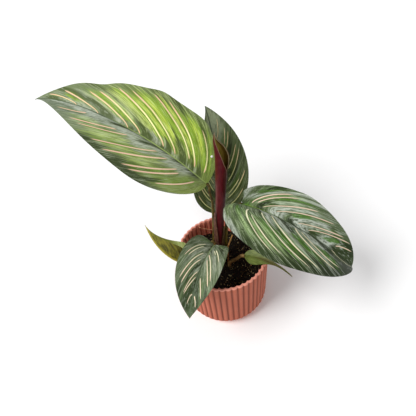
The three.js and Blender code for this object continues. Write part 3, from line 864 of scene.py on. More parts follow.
def margin(leaf, side, t):
    """How far along and how far out a half's margin is at the vein t."""
    widest = side["shoulder"] / (side["shoulder"] + side["taper"])
    peak = widest ** side["shoulder"] * (1 - widest) ** side["taper"]
    tongue = leaf["tail"] * t * np.sqrt(1 - t)
    out = side["width"] * t ** side["shoulder"] * (1 - t) ** side["taper"] / peak + tongue
    return leaf["length"] * t - side["lobe"] * np.sin(np.pi * np.minimum(t / LOBE_END, 1)), out


def flat_place(leaf, t, u):
    """Where on the flat leaf the vein t (0 base, 1 tip) is, u of the way out (-1 right, 1 left)."""
    ends_left, out_left = margin(leaf, leaf["left"], t)
    ends_right, out_right = margin(leaf, leaf["right"], t)
    left_half = smooth_share(u, -0.25, 0.25)
    sweep = leaf["right"]["sweep"] + (leaf["left"]["sweep"] - leaf["right"]["sweep"]) * left_half
    straight = np.where(u < 0, leaf["right"]["straight"], leaf["left"]["straight"])
    start = leaf["length"] * t ** sweep
    share = straight * np.abs(u) + (1 - straight) * np.abs(u) ** 3
    x = start + (np.where(u < 0, ends_right, ends_left) - start) * share
    return x, u * np.where(u < 0, out_right, out_left)


def on_blade(leaf, rib, t, u):
    """Where in space the vein t is, u of the way out."""
    return bent(leaf, rib, *flat_place(leaf, t, u))


def blade_grid(leaf):
    """Points on the middle of the blade, their normals, and t, u, the way out in millimetres and the
    vein spacing."""
    rib = midrib(leaf)
    rows = leaf["rows"]
    t = (1 - np.cos(np.pi * np.arange(rows + 1) / rows)) / 2
    v = np.linspace(-1, 1, 2 * HALF_COLUMNS + 1)
    t, u = np.meshgrid(t, np.sign(v) * np.abs(v) ** COLUMN_BUNCHING, indexing="ij")
    step = 0.004
    inside = np.clip(t, 0.02, 0.98)
    across = np.clip(u, -0.98, 0.98)
    along = on_blade(leaf, rib, inside + step, across) - on_blade(leaf, rib, inside - step, across)
    sideways = on_blade(leaf, rib, inside, across + step) - on_blade(leaf, rib, inside, across - step)
    normal = np.cross(along, sideways)
    area = np.linalg.norm(normal, axis=-1)
    normal /= area[..., None]
    normal[0], normal[-1] = rib[4][0], rib[4][-1]
    spacing = area / np.linalg.norm(sideways, axis=-1) / (2 * step)
    reach = np.abs(flat_place(leaf, t, u)[1])
    return on_blade(leaf, rib, t, u), normal, t, u, reach, spacing


PLEAT = 0.22                  # height of the soft folds between side veins
PLEATS = 9.5
GROOVE = 0.28                 # depth of the midrib's groove on the upper side
GROOVE_WIDTH = 0.5
RIB = 0.75                    # how far the midrib stands out below at the base
SHARP_EDGE = 55               # degrees
POLE_SPREAD = 2e-7            # metres within which the points at a blade's ends are one


def blade_relief(leaf, t, u, reach):
    """How far the upper and the lower face stand off the middle of the blade."""
    out = np.abs(u)
    pleat = PLEAT * np.sin(TURN * (PLEATS * t + 0.25 * np.sign(u))) * smooth_share(out, 0.02, 0.35)
    pleat *= smooth_share(out, 1.0, 0.7) * smooth_share(t, 0.04, 0.2) * smooth_share(t, 1.0, 0.9)
    pleat *= min(1.0, leaf["left"]["width"] / 20)
    along = np.clip(flat_place(leaf, t, u)[0] / leaf["length"], 0, 1)
    groove = GROOVE * np.exp(-(reach / GROOVE_WIDTH) ** 2) * (1 - 0.7 * along) * smooth_share(t, 0.0, 0.1)
    rib_radius = 0.35 + 0.5 * (1 - along)
    rib = RIB * (1 - along) ** 0.8 * np.exp(-(reach / rib_radius) ** 2) * smooth_share(1 - t, 0.0, 0.05)
    thin = BLADE_THICKNESS / 2 * (1 - 0.55 * out ** 6)
    return thin + pleat - groove, pleat - thin - rib


def make_blade(name, leaf, upper, under):
    """Two faces over one grid, joined along the margins and closed at the base and the tip."""
    middle, normal, t, u, reach, spacing = blade_grid(leaf)
    above, beneath = blade_relief(leaf, t, u, reach)
    top = middle + normal * above[..., None]
    bottom = middle + normal * beneath[..., None]
    rows, columns = t.shape
    below = rows * columns
    faces, kinds = [], []
    for row in range(rows - 1):
        for column in range(columns - 1):
            a = row * columns + column
            b = a + columns
            faces.append((a, b, b + 1, a + 1))
            faces.append((below + a, below + a + 1, below + b + 1, below + b))
            kinds += [0, 1]
        first = row * columns
        last = first + columns - 1
        faces.append((first, below + first, below + first + columns, first + columns))
        faces.append((last + columns, below + last + columns, below + last, last))
        kinds += [0, 0]
    points = np.concatenate([top.reshape(-1, 3), bottom.reshape(-1, 3)])
    piece = mesh_object(name, points, faces, [upper, under], kinds)
    values = np.stack([t, u, spacing], -1).reshape(-1, 3)
    keep_values(piece.data, "blade", np.concatenate([values, values]))
    keep_values(piece.data, "reach", np.concatenate([reach.ravel(), reach.ravel()]))
    close_poles(piece.data)
    piece.data.set_sharp_from_angle(angle=math.radians(SHARP_EDGE))
    return piece


def close_poles(mesh):
    """Joins the points that meet at the base and the tip and drops the faces that vanish."""
    work = bmesh.new()
    work.from_mesh(mesh)
    bmesh.ops.remove_doubles(work, verts=work.verts, dist=POLE_SPREAD)
    bmesh.ops.dissolve_degenerate(work, dist=1e-8, edges=work.edges)
    work.to_mesh(mesh)
    work.free()


# How the upper sides are painted; a pair is for the left and the right half. light is how much light
# falls on the leaf, pin the width of its stripes in millimetres, glow the strength of the green and
# lime bands, contrast that of the pale streaks, which are a painted sheen, and of the dark streaks,
# specks that of the dark specks, and tip_from the vein from which the tip's tone spreads. Bands are
# (place, width, inner, outer), like the stripes, with a taper as the fifth number: painted_sheen the
# grey sheen near the midrib, a painted reflection, green and lime the bright bands, dark the tongues
# and the dark margins, which are painted shade as well where a margin curls away from the light.
PAINT = {
    "left_large": {
        "light": 1.02, "pin": (0.94, 0.88), "glow": (0.75, 0.95), "contrast": (0.55, 0.5),
        "specks": (0.1, 0.1), "tip_from": 0.62, "deep": ((106, 120, 72), (94, 110, 56)),
        "mid": ((148, 162, 112), (134, 152, 80)), "pale": ((180, 190, 160), (206, 218, 150)),
        "painted_sheen": ((184, 192, 176), (168, 176, 152)), "green": ((126, 152, 62), (136, 168, 48)),
        "lime": ((188, 206, 126), (196, 214, 88)), "dark": ((54, 66, 36), (72, 86, 42)),
        "edge": ((112, 124, 96), (108, 122, 80)), "base": ((142, 161, 72), (118, 138, 62)),
        "tip": ((104, 116, 102), (118, 127, 110)), "sap": ((104, 138, 44), (108, 144, 28)),
        "rib": (152, 172, 100), "rib_end": (74, 90, 62), "cream": ((244, 206, 178), (255, 246, 176)),
        "pink": ((228, 186, 162), (232, 190, 156)),
        "left": {
            "painted_sheen": [
                (0.46, 0.12, -0.1, 0.34, 0.2), (0.56, 0.05, 0.1, 0.6, 0.2), (0.64, 0.13, -0.1, 0.5, 0.2),
                (0.84, 0.12, -0.1, 0.6),
            ],
            "green": [
                (0.3, 0.06, 0.15, 0.8), (0.42, 0.05, 0.5, 0.9), (0.54, 0.025, 0.55, 0.92),
                (0.59, 0.03, 0.55, 0.95), (0.635, 0.015, 0.45, 0.9), (0.72, 0.03, 0.55, 0.92),
            ],
            "lime": [
                (0.445, 0.02, 0.5, 0.8), (0.49, 0.025, 0.4, 0.85), (0.61, 0.03, 0.5, 0.92),
                (0.535, 0.02, 0.6, 0.9), (0.73, 0.03, 0.5, 0.88), (0.67, 0.02, 0.6, 0.95),
            ],
            "dark": [
                (0.62, 0.03, -0.1, 0.3, 0.8), (0.73, 0.03, -0.1, 0.36, 0.8), (0.34, 0.18, 0.84, 1.3),
                (0.52, 0.08, 0.9, 1.3), (0.4, 0.04, 0.7, 1.2), (0.3, 0.03, 0.66, 1.2),
            ],
        },
        "right": {
            "painted_sheen": [
                (0.6, 0.03, -0.1, 0.28, 0.3), (0.64, 0.05, -0.1, 0.3, 0.3), (0.77, 0.04, -0.1, 0.3, 0.3),
                (0.9, 0.06, -0.1, 0.5),
            ],
            "green": [
                (0.3, 0.16, 0.2, 0.86), (0.5, 0.07, 0.4, 0.9), (0.61, 0.05, 0.3, 0.9),
                (0.74, 0.04, 0.3, 0.9), (0.865, 0.012, 0.35, 0.8),
            ],
            "lime": [
                (0.31, 0.03, 0.4, 0.78), (0.425, 0.02, 0.35, 0.88), (0.535, 0.03, 0.36, 0.88),
                (0.585, 0.015, 0.3, 0.88), (0.65, 0.035, 0.28, 0.9), (0.775, 0.022, 0.3, 0.88),
                (0.7, 0.012, 0.35, 0.85),
            ],
            "dark": [
                (0.36, 0.05, -0.1, 0.32, 0.8), (0.43, 0.025, -0.1, 0.38, 0.8),
                (0.505, 0.04, -0.1, 0.55, 0.9), (0.585, 0.025, -0.1, 0.34, 0.8),
                (0.68, 0.035, -0.1, 0.46, 0.8), (0.83, 0.03, 0.5, 1.2), (0.8, 0.03, -0.1, 0.75, 0.6),
                (0.935, 0.03, -0.1, 0.8, 0.3), (0.33, 0.03, 0.88, 1.2), (0.42, 0.02, 0.86, 1.2),
                (0.69, 0.03, 0.9, 1.2), (0.23, 0.04, 0.3, 0.95), (0.4, 0.012, 0.3, 0.8),
            ],
        },
    },
    "back": {
        "light": 1.0, "pin": (0.58, 0.58), "glow": (0.5, 0.7), "contrast": (0.4, 0.42),
        "specks": (0.4, 0.6), "tip_from": 0.74, "deep": (48, 58, 28), "mid": (82, 94, 54),
        "pale": (140, 150, 112), "painted_sheen": (122, 132, 102), "green": (66, 92, 30), "lime": (112, 132, 70),
        "dark": (40, 48, 22), "edge": (64, 76, 44), "base": (70, 84, 46), "tip": (124, 132, 104),
        "sap": (62, 84, 26), "rib": (110, 140, 70), "rib_end": (50, 64, 44), "cream": (196, 196, 134),
        "pink": (196, 170, 132),
        "left": {
            "painted_sheen": [(0.35, 0.1, -0.1, 0.5), (0.62, 0.06, 0.1, 0.6)],
            "green": [(0.5, 0.03, 0.3, 0.9)],
            "dark": [(0.42, 0.03, 0.2, 0.9, 0.3), (0.54, 0.03, 0.1, 0.8, 0.3)],
        },
        "right": {
            "painted_sheen": [
                (0.35, 0.1, -0.1, 0.5), (0.5, 0.04, 0.1, 0.5), (0.575, 0.02, 0.4, 0.9),
                (0.9, 0.08, 0.2, 0.95),
            ],
            "green": [(0.55, 0.03, 0.4, 0.8), (0.66, 0.03, 0.6, 0.9), (0.8, 0.05, 0.5, 0.9)],
            "dark": [(0.65, 0.03, 0.2, 0.7, 0.3), (0.6, 0.02, 0.4, 0.95), (0.74, 0.03, 0.3, 0.95)],
        },
    },
    "right": {
        "light": 1.05, "pin": (0.74, 0.84), "glow": (0.95, 0.95), "contrast": (0.5, 0.65),
        "specks": (0.25, 0.85), "tip_from": 0.82, "deep": (64, 78, 44), "mid": (108, 125, 86),
        "pale": (192, 203, 172), "painted_sheen": (194, 202, 188), "green": (70, 114, 26), "lime": (160, 188, 126),
        "dark": (38, 50, 24), "edge": ((84, 98, 68), (42, 54, 28)), "base": (106, 124, 84),
        "tip": (42, 56, 26), "sap": (60, 98, 14), "rib": (124, 158, 44), "rib_end": (52, 66, 40),
        "cream": ((234, 208, 184), (242, 238, 202)), "pink": ((230, 202, 180), (240, 226, 194)),
        "left": {
            "painted_sheen": [
                (0.16, 0.07, 0.3, 1.2), (0.3, 0.06, 0.3, 0.5), (0.47, 0.06, 0.3, 1.2),
                (0.77, 0.04, -0.1, 0.9), (0.855, 0.035, -0.1, 0.8), (0.93, 0.02, -0.1, 0.7),
                (0.6, 0.04, 0.8, 1.2),
            ],
            "green": [
                (0.34, 0.06, 0.6, 0.95), (0.655, 0.02, 0.5, 0.9), (0.825, 0.02, 0.35, 0.75),
                (0.59, 0.012, 0.3, 0.8), (0.93, 0.012, 0.3, 0.8),
            ],
            "lime": [(0.71, 0.03, 0.35, 0.9), (0.885, 0.012, 0.3, 0.9), (0.59, 0.03, 0.3, 0.9)],
            "dark": [
                (0.68, 0.03, -0.1, 0.4, 0.6), (0.83, 0.02, -0.1, 0.3, 0.6), (0.33, 0.04, 0.75, 1.0),
                (0.3, 0.2, -0.1, 0.2), (0.94, 0.05, 0.72, 1.3),
            ],
        },
        "right": {
            "painted_sheen": [
                (0.12, 0.1, 0.8, 1.2), (0.66, 0.03, 0.1, 0.55), (0.725, 0.03, 0.0, 0.6),
                (0.8, 0.03, 0.0, 0.6), (0.86, 0.035, 0.0, 0.65),
            ],
            "green": [
                (0.58, 0.025, 0.55, 0.95), (0.645, 0.03, 0.6, 0.95), (0.755, 0.02, 0.6, 0.9),
                (0.87, 0.025, 0.6, 0.95), (0.36, 0.08, 0.3, 0.6), (0.5, 0.1, -0.1, 0.25),
            ],
            "lime": [
                (0.44, 0.04, 0.45, 0.9), (0.535, 0.035, 0.45, 0.9), (0.69, 0.025, 0.5, 0.9),
                (0.18, 0.07, 0.15, 0.6), (0.32, 0.04, 0.5, 0.85), (0.6, 0.02, 0.55, 0.9),
                (0.81, 0.02, 0.55, 0.9),
            ],
            "dark": [
                (0.76, 0.025, 0.05, 0.6, 0.3), (0.9, 0.03, 0.05, 0.7, 0.3), (0.62, 0.02, 0.1, 0.45, 0.3),
                (0.6, 0.3, 0.93, 1.3), (0.78, 0.16, 0.88, 1.3), (0.95, 0.06, 0.7, 1.3),
            ],
        },
    },
    "front": {
        "light": 0.95, "pin": (0.68, 0.66), "glow": (0.7, 0.7), "contrast": (0.48, 0.5),
        "specks": (0.25, 0.25), "tip_from": 0.79, "deep": (82, 97, 68), "mid": (116, 127, 102),
        "pale": (184, 190, 166), "painted_sheen": (150, 158, 138), "green": (78, 100, 54), "lime": (136, 150, 112),
        "dark": (46, 58, 34), "edge": (88, 102, 70), "base": (56, 70, 38), "tip": (48, 62, 32),
        "sap": (70, 96, 40), "rib": (126, 146, 98), "rib_end": (84, 98, 74), "cream": (220, 216, 182),
        "pink": (226, 200, 176),
        "left": {
            "painted_sheen": [
                (0.2, 0.14, -0.1, 0.3), (0.43, 0.07, 0.3, 1.1), (0.6, 0.08, -0.1, 0.8),
                (0.74, 0.05, -0.1, 0.55),
            ],
            "green": [(0.22, 0.1, 0.3, 0.7), (0.8, 0.05, 0.6, 1.1), (0.7, 0.05, 0.75, 1.1)],
            "lime": [(0.47, 0.04, 0.2, 0.9), (0.2, 0.06, -0.1, 0.2)],
            "dark": [
                (0.29, 0.05, 0.35, 0.75), (0.5, 0.12, -0.1, 0.12), (0.63, 0.03, -0.1, 0.3, 0.5),
                (0.89, 0.05, -0.1, 1.2), (0.76, 0.06, 0.88, 1.3),
            ],
        },
        "right": {
            "painted_sheen": [
                (0.46, 0.06, -0.1, 0.6), (0.61, 0.06, -0.1, 0.8), (0.73, 0.04, -0.1, 0.6),
                (0.82, 0.02, 0.1, 0.5),
            ],
            "green": [(0.2, 0.15, 0.2, 0.7), (0.84, 0.05, 0.6, 0.95), (0.5, 0.05, 0.7, 0.95)],
            "dark": [
                (0.54, 0.03, 0.2, 0.4), (0.79, 0.02, 0.2, 0.8), (0.89, 0.03, -0.1, 0.9),
                (0.88, 0.07, 0.6, 1.3), (0.74, 0.05, 0.85, 1.3), (0.26, 0.05, -0.1, 0.3),
            ],
        },
    },
}
# The bands in the order they are painted, how strong they get, and the values of the fine streaks
# between which they go from faint to that.
BAND_LAYERS = (
    ("painted_sheen", 0.9, 0.42, 0.58), ("green", 0.95, 0.34, 0.5), ("lime", 0.95, 0.4, 0.58),
    ("dark", 0.95, 0.3, 0.42),
)


def leaf_coordinates(tree, length):
    """Where on the blade a place is, and the streaks there."""
    vein, across, spacing = parts(tree, attribute(tree, "blade", "Vector"))
    side = calc(tree, "GREATER_THAN", across, 0.0)
    out = calc(tree, "ABSOLUTE", across)
    streaks = use(tree, VEIN_STREAKS, Vein=vein, Out=out, Side=side, Length=float(length))
    return SimpleNamespace(
        vein=vein, across=across, out=out, side=side, spacing=spacing,
        reach=attribute(tree, "reach", "Fac"), fine=streaks["Fine"], broad=streaks["Broad"],
    )


def either(tree, masks):
    """The strongest of several masks, or none."""
    union = masks[0] if masks else 0.0
    for mask in masks[1:]:
        union = calc(tree, "MAXIMUM", union, mask)
    return union


def stripes_of(tree, leaf, outs, on, widths):
    """All of a leaf's stripes as one mask, and the green beside them as another."""
    lines = []
    for side, width in zip(outs, widths):
        for place, lean, bow, inner, outer, *wider in leaf[side]["stripes"]:
            lines.append(use(
                tree, PIN_STRIPE, Vein=on.vein, Out=outs[side], Spacing=on.spacing, Place=place, Lean=lean,
                Bow=bow, Hook=leaf[side]["hook"], Inner=inner, Outer=outer,
                Width=width * (wider[0] if wider else 1),
            ))
    return [either(tree, [line[kind] for line in lines]) for kind in ("Stripe", "Halo")]


def bands_of(tree, paint, kind, outs, vein, feather):
    """All of a leaf's bands of one kind as one mask."""
    bands = []
    for side in outs:
        for place, width, inner, outer, *taper in paint[side].get(kind, []):
            bands.append(use(
                tree, LEAF_BAND, Vein=vein, Out=outs[side], Feather=feather, Place=place, Width=width,
                Inner=inner, Outer=outer, Taper=taper[0] if taper else 0.0,
            )["Band"])
    return either(tree, bands)


def upper_material(name, leaf, paint):
    """Upper side of a patterned leaf: the ground, its bands, streaks and specks, midrib and stripes."""
    material, tree, shader = new_material(f"upper_{name}", 0.45, 0.12)
    on = leaf_coordinates(tree, leaf["length"])
    outs = {"left": on.across, "right": times(tree, on.across, -1.0)}

    def tone(kind):
        both = paint[kind]
        if isinstance(both[0], tuple):
            left, right = (tint(*values, paint["light"]) for values in both)
            return mix(tree, on.side, right, left)
        return tint(*both, paint["light"])

    def share(kind):
        return blend(tree, on.side, paint[kind][1], paint[kind][0])

    feather = times(tree, minus(tree, on.broad, 0.5), 0.5)
    past_tip = minus(tree, on.vein, paint["tip_from"])
    ground = painted(
        tree, tone("deep"),
        (on.broad, 0.4, 0.6, 0.0, 1.0, tone("mid")),
        (on.vein, 0.05, 0.4, 0.8, 0.0, tone("base")),
        (past_tip, -0.02, 0.14, 0.0, 0.75, tone("tip")),
        (calc(tree, "MULTIPLY_ADD", feather, 0.5, on.out), 0.84, 0.95, 0.0, 0.7, tone("edge")),
    )
    # The painted_sheen bands are a painted reflection; the dark bands at the margins are painted shade as
    # well as the leaf's own dark.
    for kind, amount, low, high in BAND_LAYERS:
        band = bands_of(tree, paint, kind, outs, on.vein, feather)
        patchy = times(tree, band, rise(tree, on.fine, low, high, 0.4, amount))
        if kind in ("green", "lime"):
            patchy = times(tree, patchy, share("glow"))
        color = tone(kind)
        if kind == "lime":
            # Painted sheen: the lime bands turn silver towards the tip.
            color = painted(tree, color, (on.vein, 0.54, 0.78, 0.0, 0.75, tone("painted_sheen")))
        ground = mix(tree, patchy, ground, color)
    stripe, halo = stripes_of(tree, leaf, outs, on, paint["pin"])
    beside = times(tree, halo, rise(tree, past_tip, 0.0, 0.22, 0.7, 0.35))
    ground = mix(tree, beside, ground, tone("sap"))
    # Painted sheen: pale and silver streaks along the fine grain stand in for the leaf's reflection.
    sheen = painted(tree, tone("pale"), (on.vein, 0.55, 0.8, 0.0, 1.0, tone("painted_sheen")))
    glint = rise(tree, on.fine, 0.53, 0.66, 0.0, paint["contrast"][0])
    glint = times(tree, glint, rise(tree, on.out, 0.08, 0.36, 0.25, 1.0))
    ground = mix(tree, glint, ground, sheen)
    ground = painted(tree, ground, (on.fine, 0.36, 0.47, paint["contrast"][1], 0.0, tone("dark")))
    speck = rise(tree, grain(tree, object_place(tree), 0.8, 3.0, 0.7), 0.58, 0.68)
    speck = times(tree, times(tree, speck, share("specks")), rise(tree, on.vein, 0.35, 0.75, 1.0, 0.3))
    ground = mix(tree, speck, ground, tone("dark"))
    rib_tone = painted(tree, tone("rib"), (on.vein, 0.62, 0.85, 0.0, 1.0, tone("rib_end")))
    ground = painted(tree, ground, (on.reach, 0.25, 0.65, 0.85, 0.0, rib_tone))
    middle = times(tree, rise(tree, on.out, 0.14, 0.34), rise(tree, on.out, 0.5, 0.9, 1.0, 0.0))
    middle = times(tree, middle, rise(tree, on.vein, 0.58, 0.85, 1.0, 0.2))
    ground = mix(tree, stripe, ground, mix(tree, middle, tone("pink"), tone("cream")))
    height = calc(tree, "MULTIPLY_ADD", on.fine, 0.6, times(tree, stripe, 0.35))
    finish_shader(tree, shader, ground, height, 0.16, blend(tree, on.fine, 0.38, 0.52))
    return material


def under_material(name, dark, light, vein_tone):
    """Underside: smooth, with the side veins and the rib a little lighter."""
    material, tree, shader = new_material(f"under_{name}", 0.5, 0.25)
    on = leaf_coordinates(tree, 70)
    body = painted(
        tree, dark,
        (on.broad, 0.35, 0.65, 0.0, 1.0, light),
        (on.fine, 0.5, 0.8, 0.0, 0.3, vein_tone),
        (on.reach, 0.4, 1.1, 0.8, 0.0, vein_tone),
    )
    finish_shader(tree, shader, body, on.fine, 0.12)
    return material


def small_upper_material(name, pale, deep, tail, glow=0.0):
    """Upper side of a small leaf: streaked, darker at the tip; glow is painted daylight through the blade.
    """
    material, tree, shader = new_material(f"upper_{name}", 0.45, 0.25)
    on = leaf_coordinates(tree, 50)
    body = painted(
        tree, deep,
        (on.broad, 0.35, 0.65, 0.0, 1.0, pale),
        (on.vein, 0.45, 0.65, 0.0, 1.0, tail),
        (on.reach, 0.2, 0.6, 0.35, 0.0, deep),
    )
    # Painted light: the blade gives off light of its own, standing in for daylight through it.
    tree.links.new(body, shader.inputs["Emission Color"])
    shader.inputs["Emission Strength"].default_value = glow
    finish_shader(tree, shader, body, on.fine, 0.12)
    return material


def make_leaves():
    maroon = under_material("maroon", tint(74, 30, 32), tint(104, 48, 44), tint(140, 80, 66))
    olive = under_material("olive", tint(74, 72, 6), tint(134, 128, 24), tint(190, 176, 66))
    # The small left leaf glows a little: painted light that stands in for daylight through its blade.
    left_tones = tint(176, 184, 122), tint(136, 152, 84), tint(110, 114, 48)
    right_tones = tint(114, 128, 58), tint(84, 98, 36), tint(84, 78, 26)
    small = {
        "small_left": small_upper_material("small_left", *left_tones, 0.8),
        "small_right": small_upper_material("small_right", *right_tones),
    }
    slots = {"left_large": "leaf_bright", "right": "leaf_bright", "back": "leaf_dark", "front": "leaf_dark"}
    for name, leaf in LEAVES.items():
        if name in small:
            piece = make_blade(f"leaf_{name}", leaf, small[name], olive)
        else:
            piece = make_blade(f"leaf_{name}", leaf, upper_material(name, leaf, PAINT[name]), maroon)
        place_piece(piece, slots.get(name, "leaf_olive"), f"blade_{name}")


def make_perlite_grain():
    """A white grain of perlite that lies on the large leaf near its base."""
    material = soil_material("perlite", tint(250, 250, 246), tint(255, 255, 255), 0.8)
    leaf = LEAVES["left_large"]
    place = on_blade(leaf, midrib(leaf), *GRAIN_PLACE)[0] + np.array([0, 0, BLADE_THICKNESS])
    work = bmesh.new()
    bmesh.ops.create_icosphere(work, subdivisions=2, radius=GRAIN_RADIUS)
    points = [place + np.array(vert.co) * (1 + 0.2 * noise.noise(vert.co * 2.5)) for vert in work.verts]
    faces = [[vert.index for vert in face.verts] for face in work.faces]
    work.free()
    place_piece(mesh_object("perlite_grain", points, faces, [material]), "soil")


# ---------- Stalks ----------

ROOT_DEPTH = 5.0
STALK_LEAD = 1.8              # where a stalk is in line with its blade, before the base
STALK_HOLD = 0.6              # how far it runs into the blade
STALK_TAPER = 0.92


def rooted(x, y):
    """The lowest two points of a stalk: one in the soil and one just above it."""
    return (x, y, SOIL_LEVEL - ROOT_DEPTH), (x, y, SOIL_LEVEL + 1)


def smooth_path(points, steps):
    """A centripetal Catmull-Rom curve through the points, as a pyramid of blends."""
    p = np.asarray(points, float)
    p = np.concatenate([[2 * p[0] - p[1]], p, [2 * p[-1] - p[-2]]])
    curve = [p[1]]
    for i in range(1, len(p) - 2):
        around = p[i - 1:i + 3]
        knots = np.concatenate([[0], np.cumsum(np.linalg.norm(np.diff(around, axis=0), axis=1) ** 0.5)])
        for k in np.linspace(knots[1], knots[2], steps + 1)[1:]:
            level = list(around)
            for low, high in (((0, 1, 2), (1, 2, 3)), ((0, 1), (2, 3)), ((1,), (2,))):
                shares = [(k - knots[a]) / (knots[b] - knots[a]) for a, b in zip(low, high)]
                level = [level[j] + (level[j + 1] - level[j]) * share for j, share in enumerate(shares)]
            curve.append(level[0])
    return np.array(curve)


def make_stalk_tree():
    """A tapering closed tube along a curve."""
    inputs = {"Foot radius": 1.0 * MM, "Top radius": 0.7 * MM, "Sides": 20, "Material": None}
    tree, start, end = new_shape_tree("stalk", inputs)
    share = add(tree, "GeometryNodeSplineParameter").outputs["Factor"]
    sockets = {0: share, 3: start["Foot radius"], 4: start["Top radius"]}
    radius = add(tree, "ShaderNodeMapRange", sockets).outputs[0]
    sized = add(tree, "GeometryNodeSetCurveRadius", {"Curve": start["Geometry"], "Radius": radius})
    ring = add(tree, "GeometryNodeCurvePrimitiveCircle", {"Resolution": start["Sides"], "Radius": 1.0})
    tube = add(tree, "GeometryNodeCurveToMesh", {
        "Curve": sized.outputs[0], "Profile Curve": ring.outputs[0], "Fill Caps": True,
    })
    if "Scale" in tube.inputs:
        tree.links.new(add(tree, "GeometryNodeInputRadius").outputs[0], tube.inputs["Scale"])
    smooth = add(tree, "GeometryNodeSetShadeSmooth", {"Geometry": tube.outputs[0]})
    return finish_shape_tree(tree, smooth.outputs[0], start["Material"], end)


def tube_along(tree, name, points, foot, top, material, sides=20):
    """A stalk through the points, with its radius at the foot and at the top."""
    data = bpy.data.curves.new(name, "CURVE")
    data.dimensions = "3D"
    spline = data.splines.new("POLY")
    spline.points.add(len(points) - 1)
    for point, place in zip(spline.points, points):
        point.co = (*(place * MM), 1.0)
    curve = bpy.data.objects.new(f"{name}_path", data)
    bpy.context.scene.collection.objects.link(curve)
    values = {"Foot radius": foot * MM, "Top radius": top * MM, "Sides": sides, "Material": material}
    shape_with(curve, tree, values)
    return baked(curve, name)


def stalk_material(name, body, dark, blush, rough=0.5, foot=None):
    """Long fibres over a mottled body. foot is (low, high, tone): darkest below low, none above high."""
    material, tree, shader = new_material(name, rough, 0.2)
    place = object_place(tree)
    grains = use(tree, FIBRES, Place=place, Stretch=0.1, Scale=2.2)
    layers = [
        (grains["Mottle"], 0.35, 0.65, 0.0, 1.0, dark),
        (grains["Fibres"], 0.45, 0.7, 0.0, 0.6, blush),
    ]
    if foot:
        low, high, tone = foot
        layers.append((parts(tree, place)[2], low, high, 0.8, 0.0, tone))
    finish_shader(tree, shader, painted(tree, body, *layers), grains["Fibres"], 0.14)
    return material


def make_stalks(tree):
    """The leaves' stalks, each from inside the soil to the blade's base."""
    olive = stalk_material("olive_stalk", tint(104, 90, 30), tint(64, 46, 16), tint(136, 124, 56))
    tan = stalk_material("tan_stalk", tint(150, 118, 68), tint(104, 76, 40), tint(186, 156, 98))
    for name, leaf in LEAVES.items():
        stalk = leaf["stalk"]
        _, place, forward, _, _ = midrib(leaf)
        ends = place[0] - forward[0] * STALK_LEAD, place[0] + forward[0] * STALK_HOLD
        path = smooth_path([*rooted(*stalk["root"]), *stalk["path"], *ends], 10)
        material = tan if name == "small_right" else olive
        radius = stalk["radius"]
        piece = tube_along(tree, f"petiole_{name}", path, radius, radius * STALK_TAPER, material)
        place_piece(piece, "stalk", f"stalk_{name}")


def make_dry_pieces(tree):
    """The withered stalk of an old leaf, and a dry root on the pot's inner wall."""
    dry = stalk_material("dry_brown", tint(172, 124, 66), tint(108, 74, 34), tint(208, 168, 108), 0.85)
    stalk = [*rooted(3.6, 0.2), (3.7, 0.4, 46), (3.9, 0.8, 53), (6, 1.5, 60), (8.3, 2.4, 66.2)]
    withered = tube_along(tree, "withered_stalk", smooth_path(stalk, 10), 0.65, 0.5, dry, 12)
    place_piece(withered, "dry_stalk", "dry_stalk")
    root_tones = tint(252, 190, 146, 1.0), tint(236, 160, 116, 1.0), tint(255, 218, 184, 1.0)
    pale = stalk_material("pale_root", *root_tones, 0.85)
    root = [
        (0.2, 28.7, 38.2), (-1.6, 28.7, 40.6), (-3.8, 28.6, 42.1), (-5.7, 28.3, 43.1), (-7.9, 27.8, 44.6),
        (-10.1, 27.2, 46.3), (-12.2, 26.4, 48.4), (-13.9, 25.6, 51.0),
    ]
    place_piece(tube_along(tree, "dry_root", smooth_path(root, 8), 0.38, 0.3, pale, 8), "dry_stalk")


# ---------- New leaf and sheaths ----------

# The rolled new leaf: height, place of its axis, its radius and how far the outer edge has come loose.
SHOOT_AXIS = np.array([
    (33, -2, 0, 2.3, 0.3), (44, -2, 0.2, 2.4, 0.3), (60, -1, 3.2, 2.6, 0.3), (80, 0.7, 6.4, 2.9, 0.4),
    (100, 3.2, 10, 3.2, 0.5), (114, 4.6, 12.4, 3.5, 0.8), (122, 5.4, 13.8, 3.4, 1.2),
    (128, 5.6, 14.4, 3.0, 1.6), (134, 5.0, 14.8, 2.3, 1.4), (140, 4.0, 15.4, 1.5, 0.7),
    (143.5, 3.9, 15.6, 0.9, 0.3), (146, 4.1, 15.7, 0.25, 0.1),
])
# Height, where the sheet's outer and inner edges lie round the axis in degrees, and how far the
# inner edge flares out as a flap.
SHOOT_EDGES = np.array([
    (33, 0, -540, 0), (100, 0, -540, 0), (110, 0, -420, 0), (114, -10, -385, 0.4), (118, -30, -372, 1.4),
    (122, -50, -366, 2.3), (126, -68, -362, 2.9), (130, -76, -356, 3.1), (134, -84, -345, 2.6),
    (138, -92, -325, 1.2), (141, -100, -305, 0.4), (144, -115, -290, 0.1), (146, -150, -250, 0),
])
SHEET = 0.4                   # thickness of the rolled leaf
TURN_STEP = 0.55              # how much tighter each turn is rolled than the one outside it
SHOOT_ROWS = 150
SHOOT_COLUMNS = 90


def at_height(table, z):
    """The other columns of a table whose first column is a height, at a height."""
    return [np.interp(z, table[:, 0], column) for column in table[:, 1:].T]


def shoot_axis(z):
    """Centre, radius and reach of the shoot at a height."""
    cx, cy, radius, loose = at_height(SHOOT_AXIS, z)
    return cx, cy, radius, radius + loose


def strip_loft(rings):
    """Faces of a closed skin over rings that go out along one side of a strip and back along the other."""
    rows, sides = len(rings), len(rings[0])
    faces = loft_faces(rows, sides)
    for start in (0, (rows - 1) * sides):
        for side in range(sides // 2 - 1):
            quad = (start + side, start + side + 1, start + sides - 2 - side, start + sides - 1 - side)
            faces.append(quad[::-1] if start == 0 else quad)
    return faces


